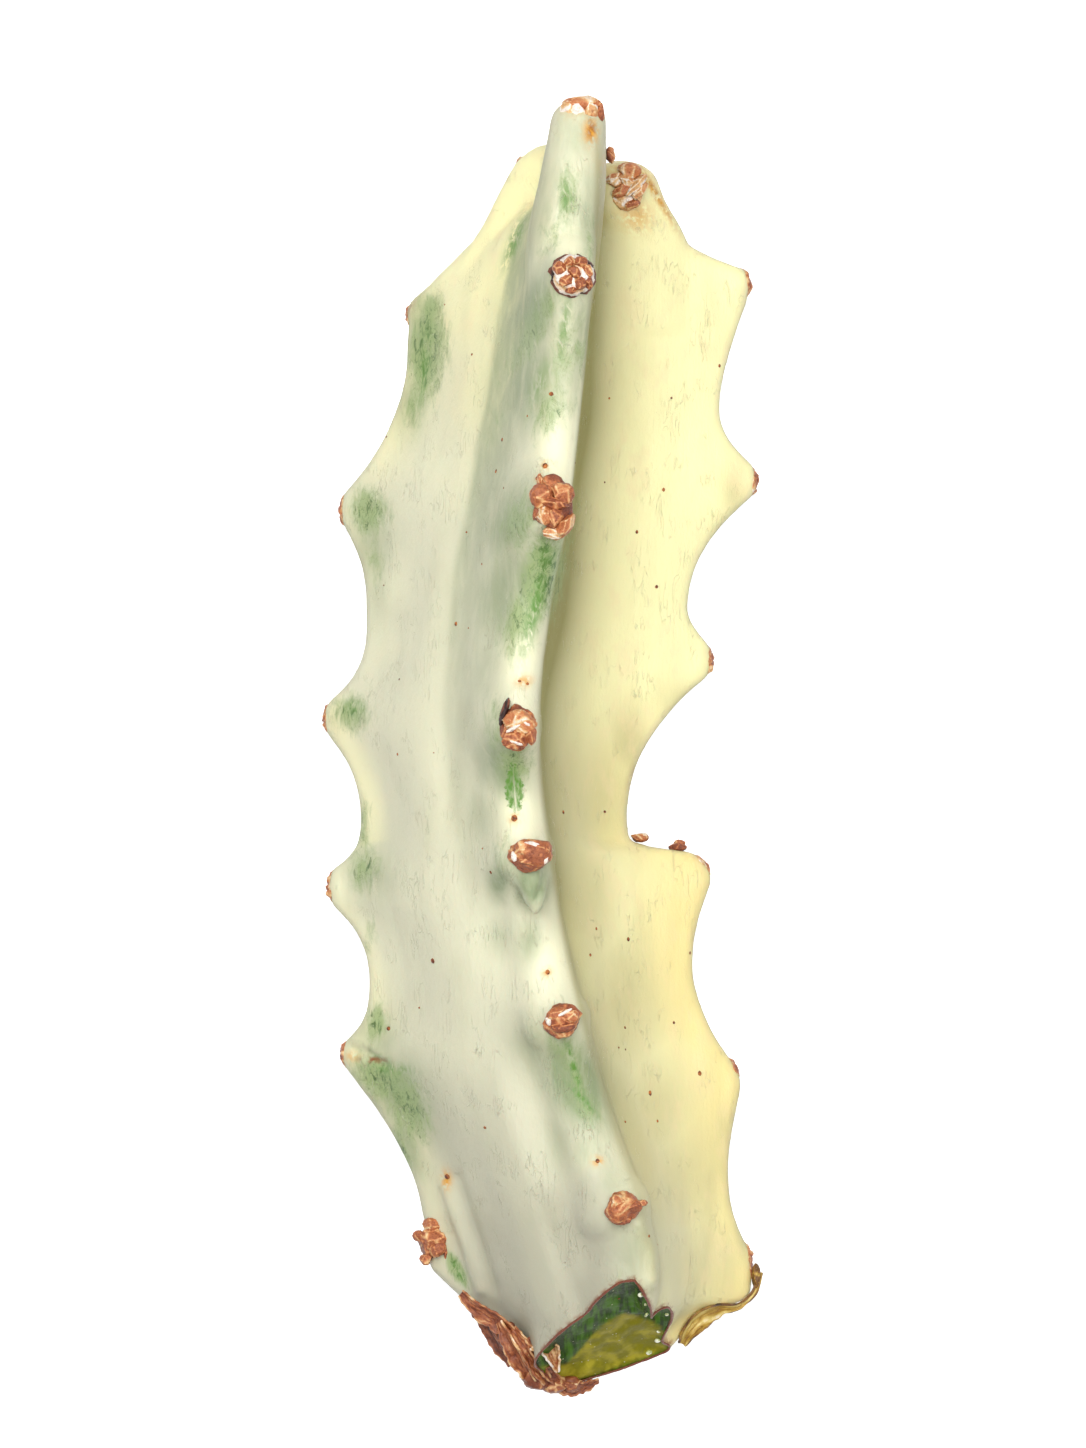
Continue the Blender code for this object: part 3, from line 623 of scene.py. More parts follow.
@dataclass(frozen=True)
class Outline:
    """The rule of the stem's cross section from the cut up to the growing tip."""

    centre: tuple = (
        (-76, 1.0, 9.5), (-71, 3.4, 10.5), (-66, 5.8, 11.5), (-60, 6.6, 12.0), (-50, 4.2, 12.5),
        (-40, 0.6, 12.7), (-30, -2.2, 12.85), (-12, -6.0, 13.15), (3, -7.0, 13.4),
        (15, -5.6, 13.55), (27, -3.6, 13.75), (40, -1.6, 13.95), (53, 0.0, 14.0), (64, 1.6, 14.0))
    front_x: tuple = (
        (-76, 5.0), (-61, 10.4), (-52.8, 8.7), (-42, 5.2), (-31.3, 2.2), (-12.2, -1.5),
        (2.4, -2.8), (15, -1.4), (27, 0.7), (40, 2.2), (53.3, 3.2), (64, 3.6))
    front_round: tuple = ((-76, 4.2), (-50, 4.2), (-20, 3.6), (0, 2.9), (15, 2.6), (64, 2.9))
    side_round: tuple = ((-76, 1.8), (-60, 2.0), (-20, 2.1), (50, 2.1), (64, 2.4))
    left_furrow: tuple = ((-76, -3.0, 3.0), (-60, -6.6, 7.0), (-30, -5.4, 7.4), (0, -5.2, 6.6),
                          (20, -6.2, 5.6), (40, -5.8, 5.0), (64, -4.4, 4.0))
    right_furrow: tuple = ((-76, 6.2, 2.2), (-67, 8.0, 3.7), (-60, 7.6, 4.4), (-45, 7.3, 4.8),
                           (-30, 8.0, 5.6), (0, 8.2, 4.6), (27, 7.4, 3.8), (64, 5.4, 3.0))
    under_furrow: tuple = ((-76, 0.4, -3.0), (-60, 0.6, -5.6), (-20, 1.4, -6.6), (64, 1.4, -5.6))
    rest: float = 2.1  # height of the middle of a side crest where its tooth stands
    flare: float = math.radians(7)
    front_slant: tuple = ((-76, 24), (-40, 20), (-12, 18), (2, 20), (20, 24), (64, 24))
    handle: float = 0.38
    flank_points: int = 14
    crest_points: int = 14

    def middle(self, at: float) -> Vector:
        """Gives the middle of the stem at one place along, as x and z."""
        return Vector(smooth_track(self.centre, at))

    def slope(self, edge: Sequence[Tooth | Hollow], side: int, at: float) -> float:
        """Says how steeply a side rib falls, so that its teeth end at one height."""
        teeth = [tooth for tooth in edge if isinstance(tooth, Tooth)]
        places = [tooth.along for tooth in teeth]
        reach = float(np.interp(at, places, [tooth.reach for tooth in teeth]))
        lift = float(np.interp(at, places, [tooth.lift for tooth in teeth]))
        middle = self.middle(at)
        run = side * (reach - smooth_track(self.side_round, at)[0]) - middle.x
        return (self.rest + lift - middle.y) / run

    def crests(self, at: float) -> list[tuple[Vector, Vector, float]]:
        """Gives for each rib the middle of its crest, its direction and its roundness."""
        centre = self.middle(at)
        round_side = float(smooth_track(self.side_round, at)[0])
        round_front = float(smooth_track(self.front_round, at)[0])
        found = []
        for edge, side in ((RIGHT_EDGE, 1), (LEFT_EDGE, -1)):
            slope = self.slope(edge, side, at)
            x = side * (edge_reach(edge, at) - round_side)
            crest = Vector((x, centre.y + (x - centre.x) * slope))
            found.append((crest, Vector((side, side * slope)).normalized(), round_side))
        top = Vector((smooth_track(self.front_x, at)[0], edge_reach(FRONT_EDGE, at)))
        up = (top - centre).normalized()
        found.insert(Rib.FRONT.value, (top - up * round_front, up, round_front))
        return found

    def furrows(self, at: float) -> list[Vector]:
        """Gives the right, the left and the under furrow at one place along."""
        centre = self.middle(at)
        return [centre + Vector(smooth_track(furrow, at))
                for furrow in (self.right_furrow, self.left_furrow, self.under_furrow)]

    def section(self, at: float) -> list[Vector]:
        """Gives the closed outline across the stem at one place along.

        Args:
            at: The place along the stem.

        Returns:
            Its points as x and z, from the under furrow past the right rib round.
        """
        centre = self.middle(at)
        furrows = self.furrows(at)
        outline = []
        for index, (crest, along_rib, round_off) in enumerate(self.crests(at)):
            across = Vector((-along_rib.y, along_rib.x))
            before, after = furrows[index - 1], furrows[index]
            slants = [self.flare, self.flare]
            if index == Rib.FRONT.value:
                slants[1] = math.radians(float(smooth_track(self.front_slant, at)[0]))
            sides = [Vector((math.sin(slant), math.cos(slant))) for slant in slants]
            low_side = crest + (along_rib * sides[0].x - across * sides[0].y) * round_off
            high_side = crest + (along_rib * sides[1].x + across * sides[1].y) * round_off
            low_way = along_rib * sides[0].y + across * sides[0].x
            high_way = along_rib * -sides[1].y + across * sides[1].x
            turn = Matrix.Rotation(math.pi / 2, 2)
            leave = turn @ (before - centre).normalized()
            arrive = turn @ (after - centre).normalized()
            low = (low_side - before).length * self.handle
            high = (high_side - after).length * self.handle
            rise = (before, before + leave * low, low_side - low_way * low, low_side)
            fall = (high_side, high_side + high_way * high, after - arrive * high, after)
            steps = [step / self.flank_points for step in range(self.flank_points)]
            outline += [bezier(rise, step) for step in steps]
            first, last = slants[0] - math.pi / 2, math.pi / 2 - slants[1]
            for step in range(self.crest_points):
                angle = first + (last - first) * step / self.crest_points
                outward = along_rib * math.cos(angle) + across * math.sin(angle)
                outline.append(crest + outward * round_off)
            outline += [bezier(fall, step) for step in steps]
        return outline


# ------------------------------------------------------------------ mesh helpers


def add_object(name: str, mesh: bpy.types.Mesh, *materials: bpy.types.Material) -> bpy.types.Object:
    """Puts a mesh in the scene at the origin.

    Args:
        name: The piece's name.
        mesh: Its mesh, in metres in the part's frame.
        materials: What it is made of.

    Returns:
        The new object.
    """
    obj = bpy.data.objects.new(name, mesh)
    bpy.context.scene.collection.objects.link(obj)
    for material in materials:
        mesh.materials.append(material)
    return obj


def mesh_from(name: str, shape: bmesh.types.BMesh, keep_normals: bool = False) -> bpy.types.Mesh:
    """Turns a shape in millimetres into a smooth mesh in metres in the part's frame."""
    if not keep_normals:
        bmesh.ops.recalc_face_normals(shape, faces=shape.faces)
    bmesh.ops.translate(shape, vec=TO_FRAME, verts=shape.verts)
    bmesh.ops.scale(shape, vec=(MM, MM, MM), verts=shape.verts)
    mesh = bpy.data.meshes.new(name)
    shape.to_mesh(mesh)
    shape.free()
    mesh.shade_smooth()
    return mesh


def settled(obj: bpy.types.Object) -> bpy.types.Mesh:
    """Gives the result of an object's modifiers as a plain mesh and takes the modifiers off."""
    graph = bpy.context.evaluated_depsgraph_get()
    graph.update()
    mesh = bpy.data.meshes.new_from_object(obj.evaluated_get(graph))
    obj.modifiers.clear()
    obj.data = mesh
    return mesh


def loft(shape: bmesh.types.BMesh, rings: Iterable[Sequence[Vector]]) -> None:
    """Joins rings with as many points each into a closed tube with flat ends."""
    rows = [[shape.verts.new(point) for point in ring] for ring in rings]
    for low, high in zip(rows, rows[1:]):
        for index, corner in enumerate(low):
            beside = (index + 1) % len(low)
            shape.faces.new((corner, low[beside], high[beside], high[index]))
    shape.faces.new(rows[0])
    shape.faces.new(rows[-1])


def points_of(mesh: bpy.types.Mesh) -> np.ndarray:
    """Gives a mesh's points in millimetres around the middle of the stem."""
    flat = np.empty(len(mesh.vertices) * 3, np.float32)
    mesh.vertices.foreach_get("co", flat)
    return flat.reshape(-1, 3).astype(float) / MM - np.array(TO_FRAME)


def normals_of(mesh: bpy.types.Mesh) -> np.ndarray:
    """Gives the direction in which a mesh faces at each of its points."""
    flat = np.empty(len(mesh.vertices) * 3, np.float32)
    mesh.vertex_normals.foreach_get("vector", flat)
    return flat.reshape(-1, 3).astype(float)


def move_points(mesh: bpy.types.Mesh, points: np.ndarray) -> None:
    """Puts a mesh's points at new places, in millimetres around the middle of the stem."""
    moved = ((points + np.array(TO_FRAME)) * MM).astype(np.float32)
    mesh.vertices.foreach_set("co", moved.reshape(-1))
    mesh.update()


def carry(mesh: bpy.types.Mesh, name: str, values: np.ndarray) -> None:
    """Stores a number for each point of a mesh, for its material to read."""
    layer = mesh.attributes.new(name, "FLOAT", "POINT")
    layer.data.foreach_set("value", np.ascontiguousarray(values, np.float32))


def ease(values: np.ndarray, low: float, high: float) -> np.ndarray:
    """Rises smoothly from 0 at low to 1 at high, for a whole array."""
    share = np.clip((values - low) / (high - low), 0.0, 1.0)
    return share * share * (3 - 2 * share)


# ------------------------------------------------------------------ the stem


@dataclass(frozen=True)
class Patch:
    """A soft patch of colour seen from above: its middle, its two half sizes and its strength."""

    x: float
    y: float
    across: float
    along: float
    strength: float = 1.0
    lean: float = 0.0  # how far its far end leans to the right for each millimetre along


def patches(*rows: Sequence[float]) -> tuple[Patch, ...]:
    """Makes patches from rows of x, y, across, along and, where they matter, strength and lean."""
    return tuple(Patch(*row) for row in rows)


@dataclass(frozen=True)
class Fold:
    """A soft ridge, or a groove where its height is negative, along a line seen from above."""

    line: tuple
    width: float
    height: float


MARBLE = patches(
    (-13.6, 45.4, 2.6, 6.6, 1, 0.1), (-13.2, 50.4, 2, 2.4, 0.8), (-15.2, 38.5, 1.6, 3.5, 0.6),
    (-20.6, 27.2, 2.8, 3.2, 0.9), (-19.6, 21.2, 1.5, 4.2, 0.5), (-22.6, 3.6, 2.8, 2.6, 0.9),
    (-21, -9.6, 1, 4.2, 0.75), (-21, -14.4, 2.2, 3.4, 0.75), (-20.4, -21.6, 1.8, 3.6, 0.45),
    (-19.4, -32, 1.3, 2.4, 1), (-19.2, -38.4, 3.6, 3, 0.95, -0.4),
    (-15.6, -42, 2.6, 4.6, 0.9, -0.3), (-16.6, -47.2, 1.2, 3.8, 0.8, -0.3),
    (-10.2, -60.6, 1.2, 2.4, 1, -0.5), (2.6, 62.6, 1.9, 4.4, 0.62), (0.6, 58, 1.6, 5, 0.5, 0.2),
    (5.2, 57, 1, 5, 0.5), (-1.6, 47, 2.2, 6.5, 0.75, 0.45), (2.6, 44.6, 3.2, 6, 0.5),
    (0.6, 38.2, 3, 3.6, 0.65, 0.2), (-5.2, 38, 1.6, 6.6, 0.35, 0.3), (-3, 25.6, 3.2, 5, 0.6, 0.3),
    (0, 19.6, 2.8, 6.4, 1, 0.2), (-2.6, 14.6, 2.6, 5.4, 0.8, 0.3), (-5.8, 2.6, 1.3, 4.4, 0.6),
    (-3.4, -1.6, 2.4, 2.6, 0.85), (-4.6, -12.8, 1.6, 3.4, 0.5), (2.4, -34.4, 2.6, 3.4, 0.5, -0.2),
    (3.4, -37.4, 0.6, 2.8, 0.9, -0.3), (4.6, -41.2, 2, 2.6, 0.6, -0.3),
    (8.4, -60.4, 1, 1.6, 0.25),
)
VIVID = patches(
    (2.4, 62.4, 0.7, 2.6, 0.8), (-3.6, 57.8, 0.7, 2.8, 1, 0.35), (2.2, 47.6, 0.5, 3.6, 0.8, 0.15),
    (-0.6, 41.4, 0.9, 2.6, 0.55, 0.3), (-1.2, 15.4, 0.8, 4.6, 1, 0.25),
    (0.2, 21.6, 1.2, 1.8, 0.6), (-14, 43.4, 0.6, 4.6, 0.7, 0.12), (-22, 4.4, 1.3, 0.9, 0.7),
    (-17.4, -37.4, 2.2, 0.6, 0.7, -0.6), (3.3, -36.6, 0.34, 3, 1.3, -0.3),
    (4.4, -40.4, 0.4, 1.6, 1.2, -0.9), (-10, -60.8, 0.4, 2, 0.8, -0.5),
)
CREAM = patches(
    (2.9, 57, 2.6, 2.6), (0.8, 34.6, 3, 4.2), (-2.8, 11, 2.4, 4.6), (-3.4, -7.6, 2, 2.4),
    (0.4, -24.4, 2.2, 3.6, 0.95), (5, -46.6, 1.6, 2, 0.5), (3.4, 67.6, 0.9, 4.2, 0.4),
    (-24, -16.2, 1, 1.8, 0.7), (-13, 33, 2.6, 5, 0.55), (-11.5, 53, 3, 5, 0.35),
    (-16.5, 18.6, 1.6, 3.6, 0.6), (-17, 12, 2.4, 3, 0.35),
)
# Grey green patches, partly the skin's own colour and partly painted shade: on the spout under the
# fourth front tooth, in the valley beside the lowest front bud and on the right side of the front
# horn.
SAGE_AND_SHADE = patches(
    (-1.6, 49.6, 3.4, 5.2, 1, 0.2), (-2.6, 41, 4, 6, 0.85, 0.15), (4.6, 47, 1.6, 6, 0.8, 0.1),
    (2, 42, 3, 5, 0.5), (-4.2, 25.6, 3.6, 5, 0.85, 0.2), (-4.4, 17.6, 4.6, 6.6, 0.8, 0.25),
    (-7.2, 9, 2.6, 5, 0.45, 0.1), (-5.4, -1.6, 2.6, 4, 0.9), (-7.2, -7.6, 2.4, 3.6, 0.45),
    (-5.2, -15.4, 1.4, 2.4, 1), (-5, -21.8, 1.8, 2.4, 0.4), (-0.6, -34.6, 2.8, 3.6, 0.6, -0.2),
    (3.4, -38, 3.4, 5.6, 1.4, -0.35), (1.6, -45, 2.2, 4, 0.35), (-1.4, -15.6, 2.2, 3, 1.2),
    (-4.2, -3, 2.2, 3, 1), (-2, 18.6, 3, 5, 0.9, 0.2), (8.4, -52, 2.2, 6, 0.4, -0.3),
    (10.4, -57.6, 2.6, 4.4, 0.45), (5, -46, 2, 3, 0.5), (-1.8, -22.2, 1.6, 2.6, 0.7),
    (4.8, 60, 1.2, 7, 0.6), (-0.2, 60, 1, 7, 0.45, 0.25), (3.8, 69.6, 3, 3.6, 0.5),
    (3.2, 60.4, 2.6, 4, 0.3), (-14.6, 47.4, 2.4, 5.6, 0.85, 0.1), (-15.6, 40, 2.2, 4.6, 0.6),
    (-20, 24, 2.4, 5, 0.55), (-19.4, 17.6, 1.4, 4, 0.3), (-20, -14.6, 3, 3.6, 0.5),
    (-19.6, -34, 3, 4, 0.6, -0.3), (-17.4, -39.6, 4, 5.4, 0.85, -0.35),
    (-16, -46, 1.6, 4, 0.8, -0.35),
)
# Ochre patches, mostly the skin's own colour; the two leaning ones at x 10.6 and 11 lie along the
# valley beside the lowest front buds and are partly painted shadow.
OCHRE = patches(
    (7, -6, 7, 8, 0.75), (5, -18, 4, 9, 0.6), (9.6, -30, 4.6, 8, 0.8), (13, -42, 4.6, 7, 0.75),
    (16, -50, 7, 8, 0.7), (18, -60, 6, 8, 0.6), (10.6, -46, 2.8, 11, 0.9, -0.32),
    (11, -57, 2, 6, 0.9, -0.2), (20.8, 24.6, 2, 2.4, 0.5), (16, 5, 2.4, 2.4, 0.5),
    (21.9, 29.4, 1.5, 2.6, 0.7), (9.6, 0.4, 2.2, 4.6, 1), (23, -56.9, 1.3, 3, 0.9),
    (20.7, -44.2, 1.4, 3, 0.6),
)
AMBER = patches(
    (5.2, 70, 0.8, 1.5, 1.3), (10.6, 61, 1.9, 1.6, 0.75), (0, 31.8, 0.45, 0.45, 1.3),
    (-0.7, 30.4, 0.4, 0.4, 1), (-2.4, 7.4, 0.9, 0.6, 1.1), (-3.5, -8.2, 0.55, 0.5, 1.2),
    (0.2, -25.8, 0.5, 0.5, 1.2), (6, -47.4, 0.6, 0.5, 1.3), (-11.4, -50.2, 0.6, 1.1, 1.2),
    (9.4, 66.4, 3, 1.6, 0.5), (12.7, 63.8, 0.45, 3.6, 1.3, -0.6), (-22.4, -36, 0.8, 0.6, 0.7),
    (4.4, 73, 2.6, 1.2, 0.7), (18.2, -12.6, 2, 1, 0.35),
)
RUST = patches(
    (5.3, 70.1, 0.5, 1, 0.9), (12.9, 63.8, 0.3, 3.2, 0.4, -0.62), (-16, 50.6, 0.6, 1.3, 0.8, 0.5),
    (10.5, -3.6, 0.6, 1.6, 0.9, 0.2), (-19.9, -36.4, 1.6, 0.35, 1.2, -1),
    (-5.2, 65.4, 1.2, 0.4, 0.5),
)
FOLDS = (
    Fold(((-11.4, -50.8), (-10.2, -54.2), (-8.8, -58.2), (-7.4, -62.8)), 0.75, 0.55),
    Fold(((-10.2, -50.0), (-9.0, -54.0), (-7.4, -58.4), (-6.0, -62.6)), 0.8, -0.35),
    Fold(((10.6, -54.6), (12.0, -57.6), (12.2, -61.2)), 0.7, 0.5),
    Fold(((8.4, -55.4), (8.8, -58.6), (10.2, -61.4)), 0.8, -0.4),
    Fold(((16.4, -49.0), (16.6, -57.0), (16.0, -66.0)), 1.1, -0.15),
    Fold(((20.0, -50.0), (19.4, -57.0), (18.0, -64.6)), 1.0, -0.15),
    Fold(((-8.2, 32.0), (-10.4, 18.0), (-11.8, 4.0), (-11.0, -8.0)), 1.6, -0.3),
    Fold(((-6.0, 24.0), (-7.6, 12.0), (-8.6, 2.0)), 1.2, 0.2),
    Fold(((-0.6, -52.0), (1.4, -58.0), (4.4, -65.4)), 1.2, -0.3),
    Fold(((-5.4, -50.0), (-3.2, -57.0), (0.0, -65.0)), 1.2, 0.2),
    Fold(((-18.6, -36.8), (-20.6, -35.6), (-22.0, -35.4)), 0.5, -0.5),
    Fold(((-18.8, -36.0), (-20.6, -34.6), (-22.0, -34.4)), 0.5, 0.25),
    Fold(((-3.0, 6.6), (-4.8, 4.6), (-5.2, 2.2)), 0.5, 0.25),
    Fold(((8.6, 62.0), (9.6, 59.6), (12.6, 58.8)), 0.8, -0.2),
    Fold(((0.2, -13.4), (-0.1, -15.8), (-1.0, -17.6)), 0.45, -0.45),
    Fold(((10.0, -54.8), (11.6, -57.4), (11.8, -60.0)), 0.7, -0.3),
)


@dataclass
class Stem:
    """The fleshy stem: three toothed ribs, three young horns at the tip and a slanting cut."""

    outline: Outline = field(default_factory=Outline)
    row_step: float = 0.7
    voxel: float = 0.5
    tooth_round: float = 1.1  # a tooth's ball against the roundness of its crest
    unevenness: float = 0.1
    shoulder: float = 57.0
    crown: float = 63.6
    horn_round: float = 2.4
    horn_bar: float = 2.6
    horn_step: float = 0.4
    horn_points: int = 48
    left_horn: tuple = ((48, -4.6, 10.9, 9.0, 2.3), (54, -3.8, 11.4, 7.8, 2.4),
                        (60, -2.0, 12.4, 5.6, 2.6), (64, -1.0, 12.9, 4.3, 2.6),
                        (67, -0.2, 13.2, 3.3, 2.6), (69.4, 0.5, 13.4, 2.2, 2.4))
    right_horn: tuple = ((48, 9.4, 10.0, 9.0, 2.3), (54, 9.4, 10.2, 8.6, 2.5),
                         (59, 9.3, 10.4, 7.4, 2.7), (63, 9.2, 10.6, 4.9, 2.7),
                         (67.6, 8.8, 11.0, 3.6, 2.6))
    front_horn: tuple = ((48, 1.6, 22.0, 11.0, 3.4), (55, 1.9, 23.4, 10.4, 4.2),
                         (60, 2.4, 24.2, 8.8, 4.2), (64, 3.05, 25.0, 7.0, 3.9),
                         (69, 3.6, 25.8, 4.8, 3.4), (73.8, 3.95, 26.2, 3.6, 3.0))
    spout: tuple = ((-1.9, -11.8, 27.6, 2.6), (-1.7, -13.6, 28.2, 2.3), (-1.4, -15.4, 28.6, 1.9),
                    (-1.2, -17.2, 28.8, 1.4), (-1.1, -18.6, 28.8, 0.8))
    cut_point: Triple = (10.4, -60.4, 24.0)
    cut_facing: Triple = (0.286, -0.82, 0.53)
    cut_grain: float = 0.42
    cut_shake: float = 0.12
    cut_seed: int = 5
    cut_sink: float = 0.75  # how deep the cut sinks once it is cut_border inside its rim
    cut_border: float = 2.5
    cut_lumps: float = 0.4
    # How much further the skin reaches right of the cut's pointed top, across the stem.
    notch: tuple = ((10.2, 0.0), (11.3, 1.5), (12.3, 2.4), (13.4, 1.3), (15.0, 0.3))
    heart_edge: tuple = ((2.3, -71.3), (4.5, -68.8), (6.6, -66.6), (9.1, -65.4), (12.4, -66.2),
                         (15.3, -68.0))
    # How strong the painted olive shade right of the front rib and the grey green left of it, partly
    # painted shade, are, along.
    olive_shade: tuple = ((-66, 0.0), (-58, 0.1), (-52, 0.25), (-46, 0.3), (-38, 0.5), (-27, 0.65),
                          (-22, 0.6), (-14, 0.9), (-3, 1.0), (60, 1.0), (66, 0.6), (70, 0.1))
    sage_shade: tuple = ((-30, 0.0), (0, 0.22), (20, 0.45), (40, 0.68), (66, 0.8))

    def build(self, skin: bpy.types.Material, flesh: bpy.types.Material) -> bpy.types.Object:
        """Builds the dressed stem.

        Args:
            skin: What the outside is made of.
            flesh: What the cut shows.

        Returns:
            The stem as one closed piece.
        """
        obj = add_object("stem_flesh_and_skin", mesh_from("stem_flesh_and_skin", self._solid()))
        remesh = obj.modifiers.new("fuse", "REMESH")
        remesh.mode = "VOXEL"
        remesh.voxel_size = self.voxel * MM
        soften = obj.modifiers.new("soften", "SMOOTH")
        soften.factor = 0.5
        soften.iterations = 5
        mesh = settled(obj)
        self._fold(mesh)
        self._cut(mesh)
        self._mask(mesh)
        mesh.shade_smooth()
        mesh.materials.append(skin)
        mesh.materials.append(flesh)
        return obj

    def _solid(self) -> bmesh.types.BMesh:
        """Gives the overlapping shapes that the stem is fused from."""
        shape = bmesh.new()
        loft(shape, self._stem_rings())
        for stations, toward in ((self.left_horn, (-1.0, -0.5)), (self.right_horn, (1.0, -0.5)),
                                 (self.front_horn, (0.0, 1.0))):
            loft(shape, self._horn_rings(stations, toward))
        for x, y, z, radius in self.spout:
            self._ball(shape, (x, y, z), radius)
        for edge, rib in ((RIGHT_EDGE, Rib.RIGHT), (FRONT_EDGE, Rib.FRONT), (LEFT_EDGE, Rib.LEFT)):
            for tooth in edge:
                if isinstance(tooth, Tooth):
                    crest, _, radius = self.outline.crests(tooth.along)[rib.value]
                    self._ball(shape, (crest.x, tooth.along, crest.y), radius * self.tooth_round)
        return shape

    @staticmethod
    def _ball(shape: bmesh.types.BMesh, place: Triple, radius: float) -> None:
        """Adds a ball."""
        bmesh.ops.create_icosphere(shape, subdivisions=3, radius=radius,
                                   matrix=Matrix.Translation(place))

    def _stem_rings(self) -> Iterable[list[Vector]]:
        """Yields the outlines from the cut end up to the dome of the growing tip."""
        low, top = LEFT_EDGE[0].along, self.crown - 0.05
        count = int((top - low) / self.row_step)
        for row in range(count + 1):
            at = low + (top - low) * row / count
            middle = self.outline.middle(at)
            width = max(closing(at, self.shoulder, self.crown), 0.08)
            ring = [middle + (point - middle) * width for point in self.outline.section(at)]
            yield [Vector((point.x, at, point.y)) for point in ring]

    def _horn_rings(self, stations: tuple, toward: tuple[float, float]) -> Iterable[list[Vector]]:
        """Yields the outlines of one horn, bars with round edges up to a rounded end."""
        low, top = stations[0][0], stations[-1][0]
        along_rib = Vector(toward).normalized()
        across = Vector((-along_rib.y, along_rib.x))
        count = int((top - low) / self.horn_step)
        for row in range(count + 1):
            at = low + (top - 0.03 - low) * row / count
            x, z, deep, thick = smooth_track(stations, at)
            width = max(closing(at, top - self.horn_round, top), 0.1)
            ring = []
            for step in range(self.horn_points):
                angle = 2 * math.pi * step / self.horn_points
                power = 2 / self.horn_bar
                run = math.copysign(abs(math.cos(angle)) ** power, math.cos(angle)) * deep
                rise = math.copysign(abs(math.sin(angle)) ** power, math.sin(angle)) * thick
                point = Vector((x, z)) + (along_rib * run + across * rise) * width
                ring.append(Vector((point.x, at, point.y)))
            yield ring

    def _fold(self, mesh: bpy.types.Mesh) -> None:
        """Raises the ridges and presses the grooves, and gives the skin a slight unevenness."""
        points, facing = points_of(mesh), normals_of(mesh)
        up = ease(facing[:, 2], 0.0, 0.35)
        rise = np.zeros(len(points))
        for fold in FOLDS:
            line = np.array(fold.line)
            near = np.full(len(points), 1e9)
            for start, end in zip(line, line[1:]):
                way = end - start
                share = np.clip(((points[:, :2] - start) @ way) / (way @ way), 0, 1)
                gap = np.linalg.norm(points[:, :2] - start - share[:, None] * way, axis=1)
                near = np.minimum(near, gap)
            rise += fold.height * np.exp(-(near / fold.width) ** 2) * up
        for index, point in enumerate(points):
            place = Vector(point)
            swell = noise.noise(Vector((place.x, place.y * 0.5, place.z)) * 0.35)
            rise[index] += self.unevenness * swell
        move_points(mesh, points + facing * rise[:, None])

    def _cut(self, mesh: bpy.types.Mesh) -> None:
        """Cuts the base off on a slant and fills the cut with a fine, slightly uneven face."""
        normal = Vector(self.cut_facing).normalized()
        place = (Vector(self.cut_point) + TO_FRAME) * MM
        shape = bmesh.new()
        shape.from_mesh(mesh)
        depth_layer = shape.verts.layers.float.new("inside")
        self._slide(shape, 1.0)
        geom = shape.verts[:] + shape.edges[:] + shape.faces[:]
        bmesh.ops.bisect_plane(shape, geom=geom, dist=1e-7, plane_co=place, plane_no=normal,
                               clear_outer=True)
        rim = [edge for edge in shape.edges if edge.is_boundary]
        order = self._walk(rim)
        across = Vector((0.0, 1.0, 0.0)).cross(normal).normalized()
        down = normal.cross(across)
        flat = np.array([[(v.co - place).dot(across), (v.co - place).dot(down)] for v in order]) / MM
        inner = self._grid_inside(flat)
        places = [Vector(p) for p in flat] + [Vector(p) for p in inner]
        faces = [list(range(len(flat)))]
        found = geometry.delaunay_2d_cdt(places, [], faces, 1, 1e-6)
        corners = []
        for point, sources in zip(found[0], found[3]):
            rims = [source for source in sources if source < len(flat)]
            if rims:
                corners.append(order[rims[0]])
                continue
            gap = float(np.min(np.linalg.norm(flat - np.array(point), axis=1)))
            lump = noise.turbulence(Vector((point.x, point.y, 3.0)) * 0.5, 3, False)
            sink = self.cut_sink * min(1.0, gap / self.cut_border)
            sink += self.cut_lumps * lump * min(1.0, gap)
            spot = place + (across * point.x + down * point.y - normal * sink) * MM
            made = shape.verts.new(spot)
            made[depth_layer] = gap
            corners.append(made)
        for triangle in found[2]:
            loop = [corners[index] for index in triangle]
            if len(set(loop)) == 3 and not shape.faces.get(loop):
                face = shape.faces.new(loop)
                face.material_index = 1
                face.smooth = True
        caps = [face for face in shape.faces if face.material_index == 1]
        for face in caps:
            face.normal_update()
            if face.normal.dot(normal) < 0:
                face.normal_flip()
        self._slide(shape, -1.0)
        self.rim_line = [vertex.co / MM - TO_FRAME for vertex in order]
        shape.to_mesh(mesh)
        shape.free()

    def _slip(self, x: np.ndarray, z: np.ndarray) -> np.ndarray:
        """Says how far the cut slips toward the base right of its pointed top."""
        return np.interp(x, *np.array(self.notch).T) * ease(z, 15.0, 19.0)

    def _slide(self, shape: bmesh.types.BMesh, share: float) -> None:
        """Slides a mesh along the stem, so that a flat cut becomes the notched one when undone."""
        places = np.array([tuple(vertex.co) for vertex in shape.verts]) / MM - np.array(TO_FRAME)
        for vertex, slip in zip(shape.verts, self._slip(places[:, 0], places[:, 2])):
            vertex.co.y += share * float(slip) * MM

    @staticmethod
    def _walk(rim: list[bmesh.types.BMEdge]) -> list[bmesh.types.BMVert]:
        """Puts the corners of a closed run of edges in order."""
        start = rim[0].verts[0]
        order, edge, corner = [start], rim[0], rim[0].verts[1]
        while corner != start:
            order.append(corner)
            edge = next(e for e in corner.link_edges if e.is_boundary and e != edge)
            corner = edge.other_vert(corner)
        return order

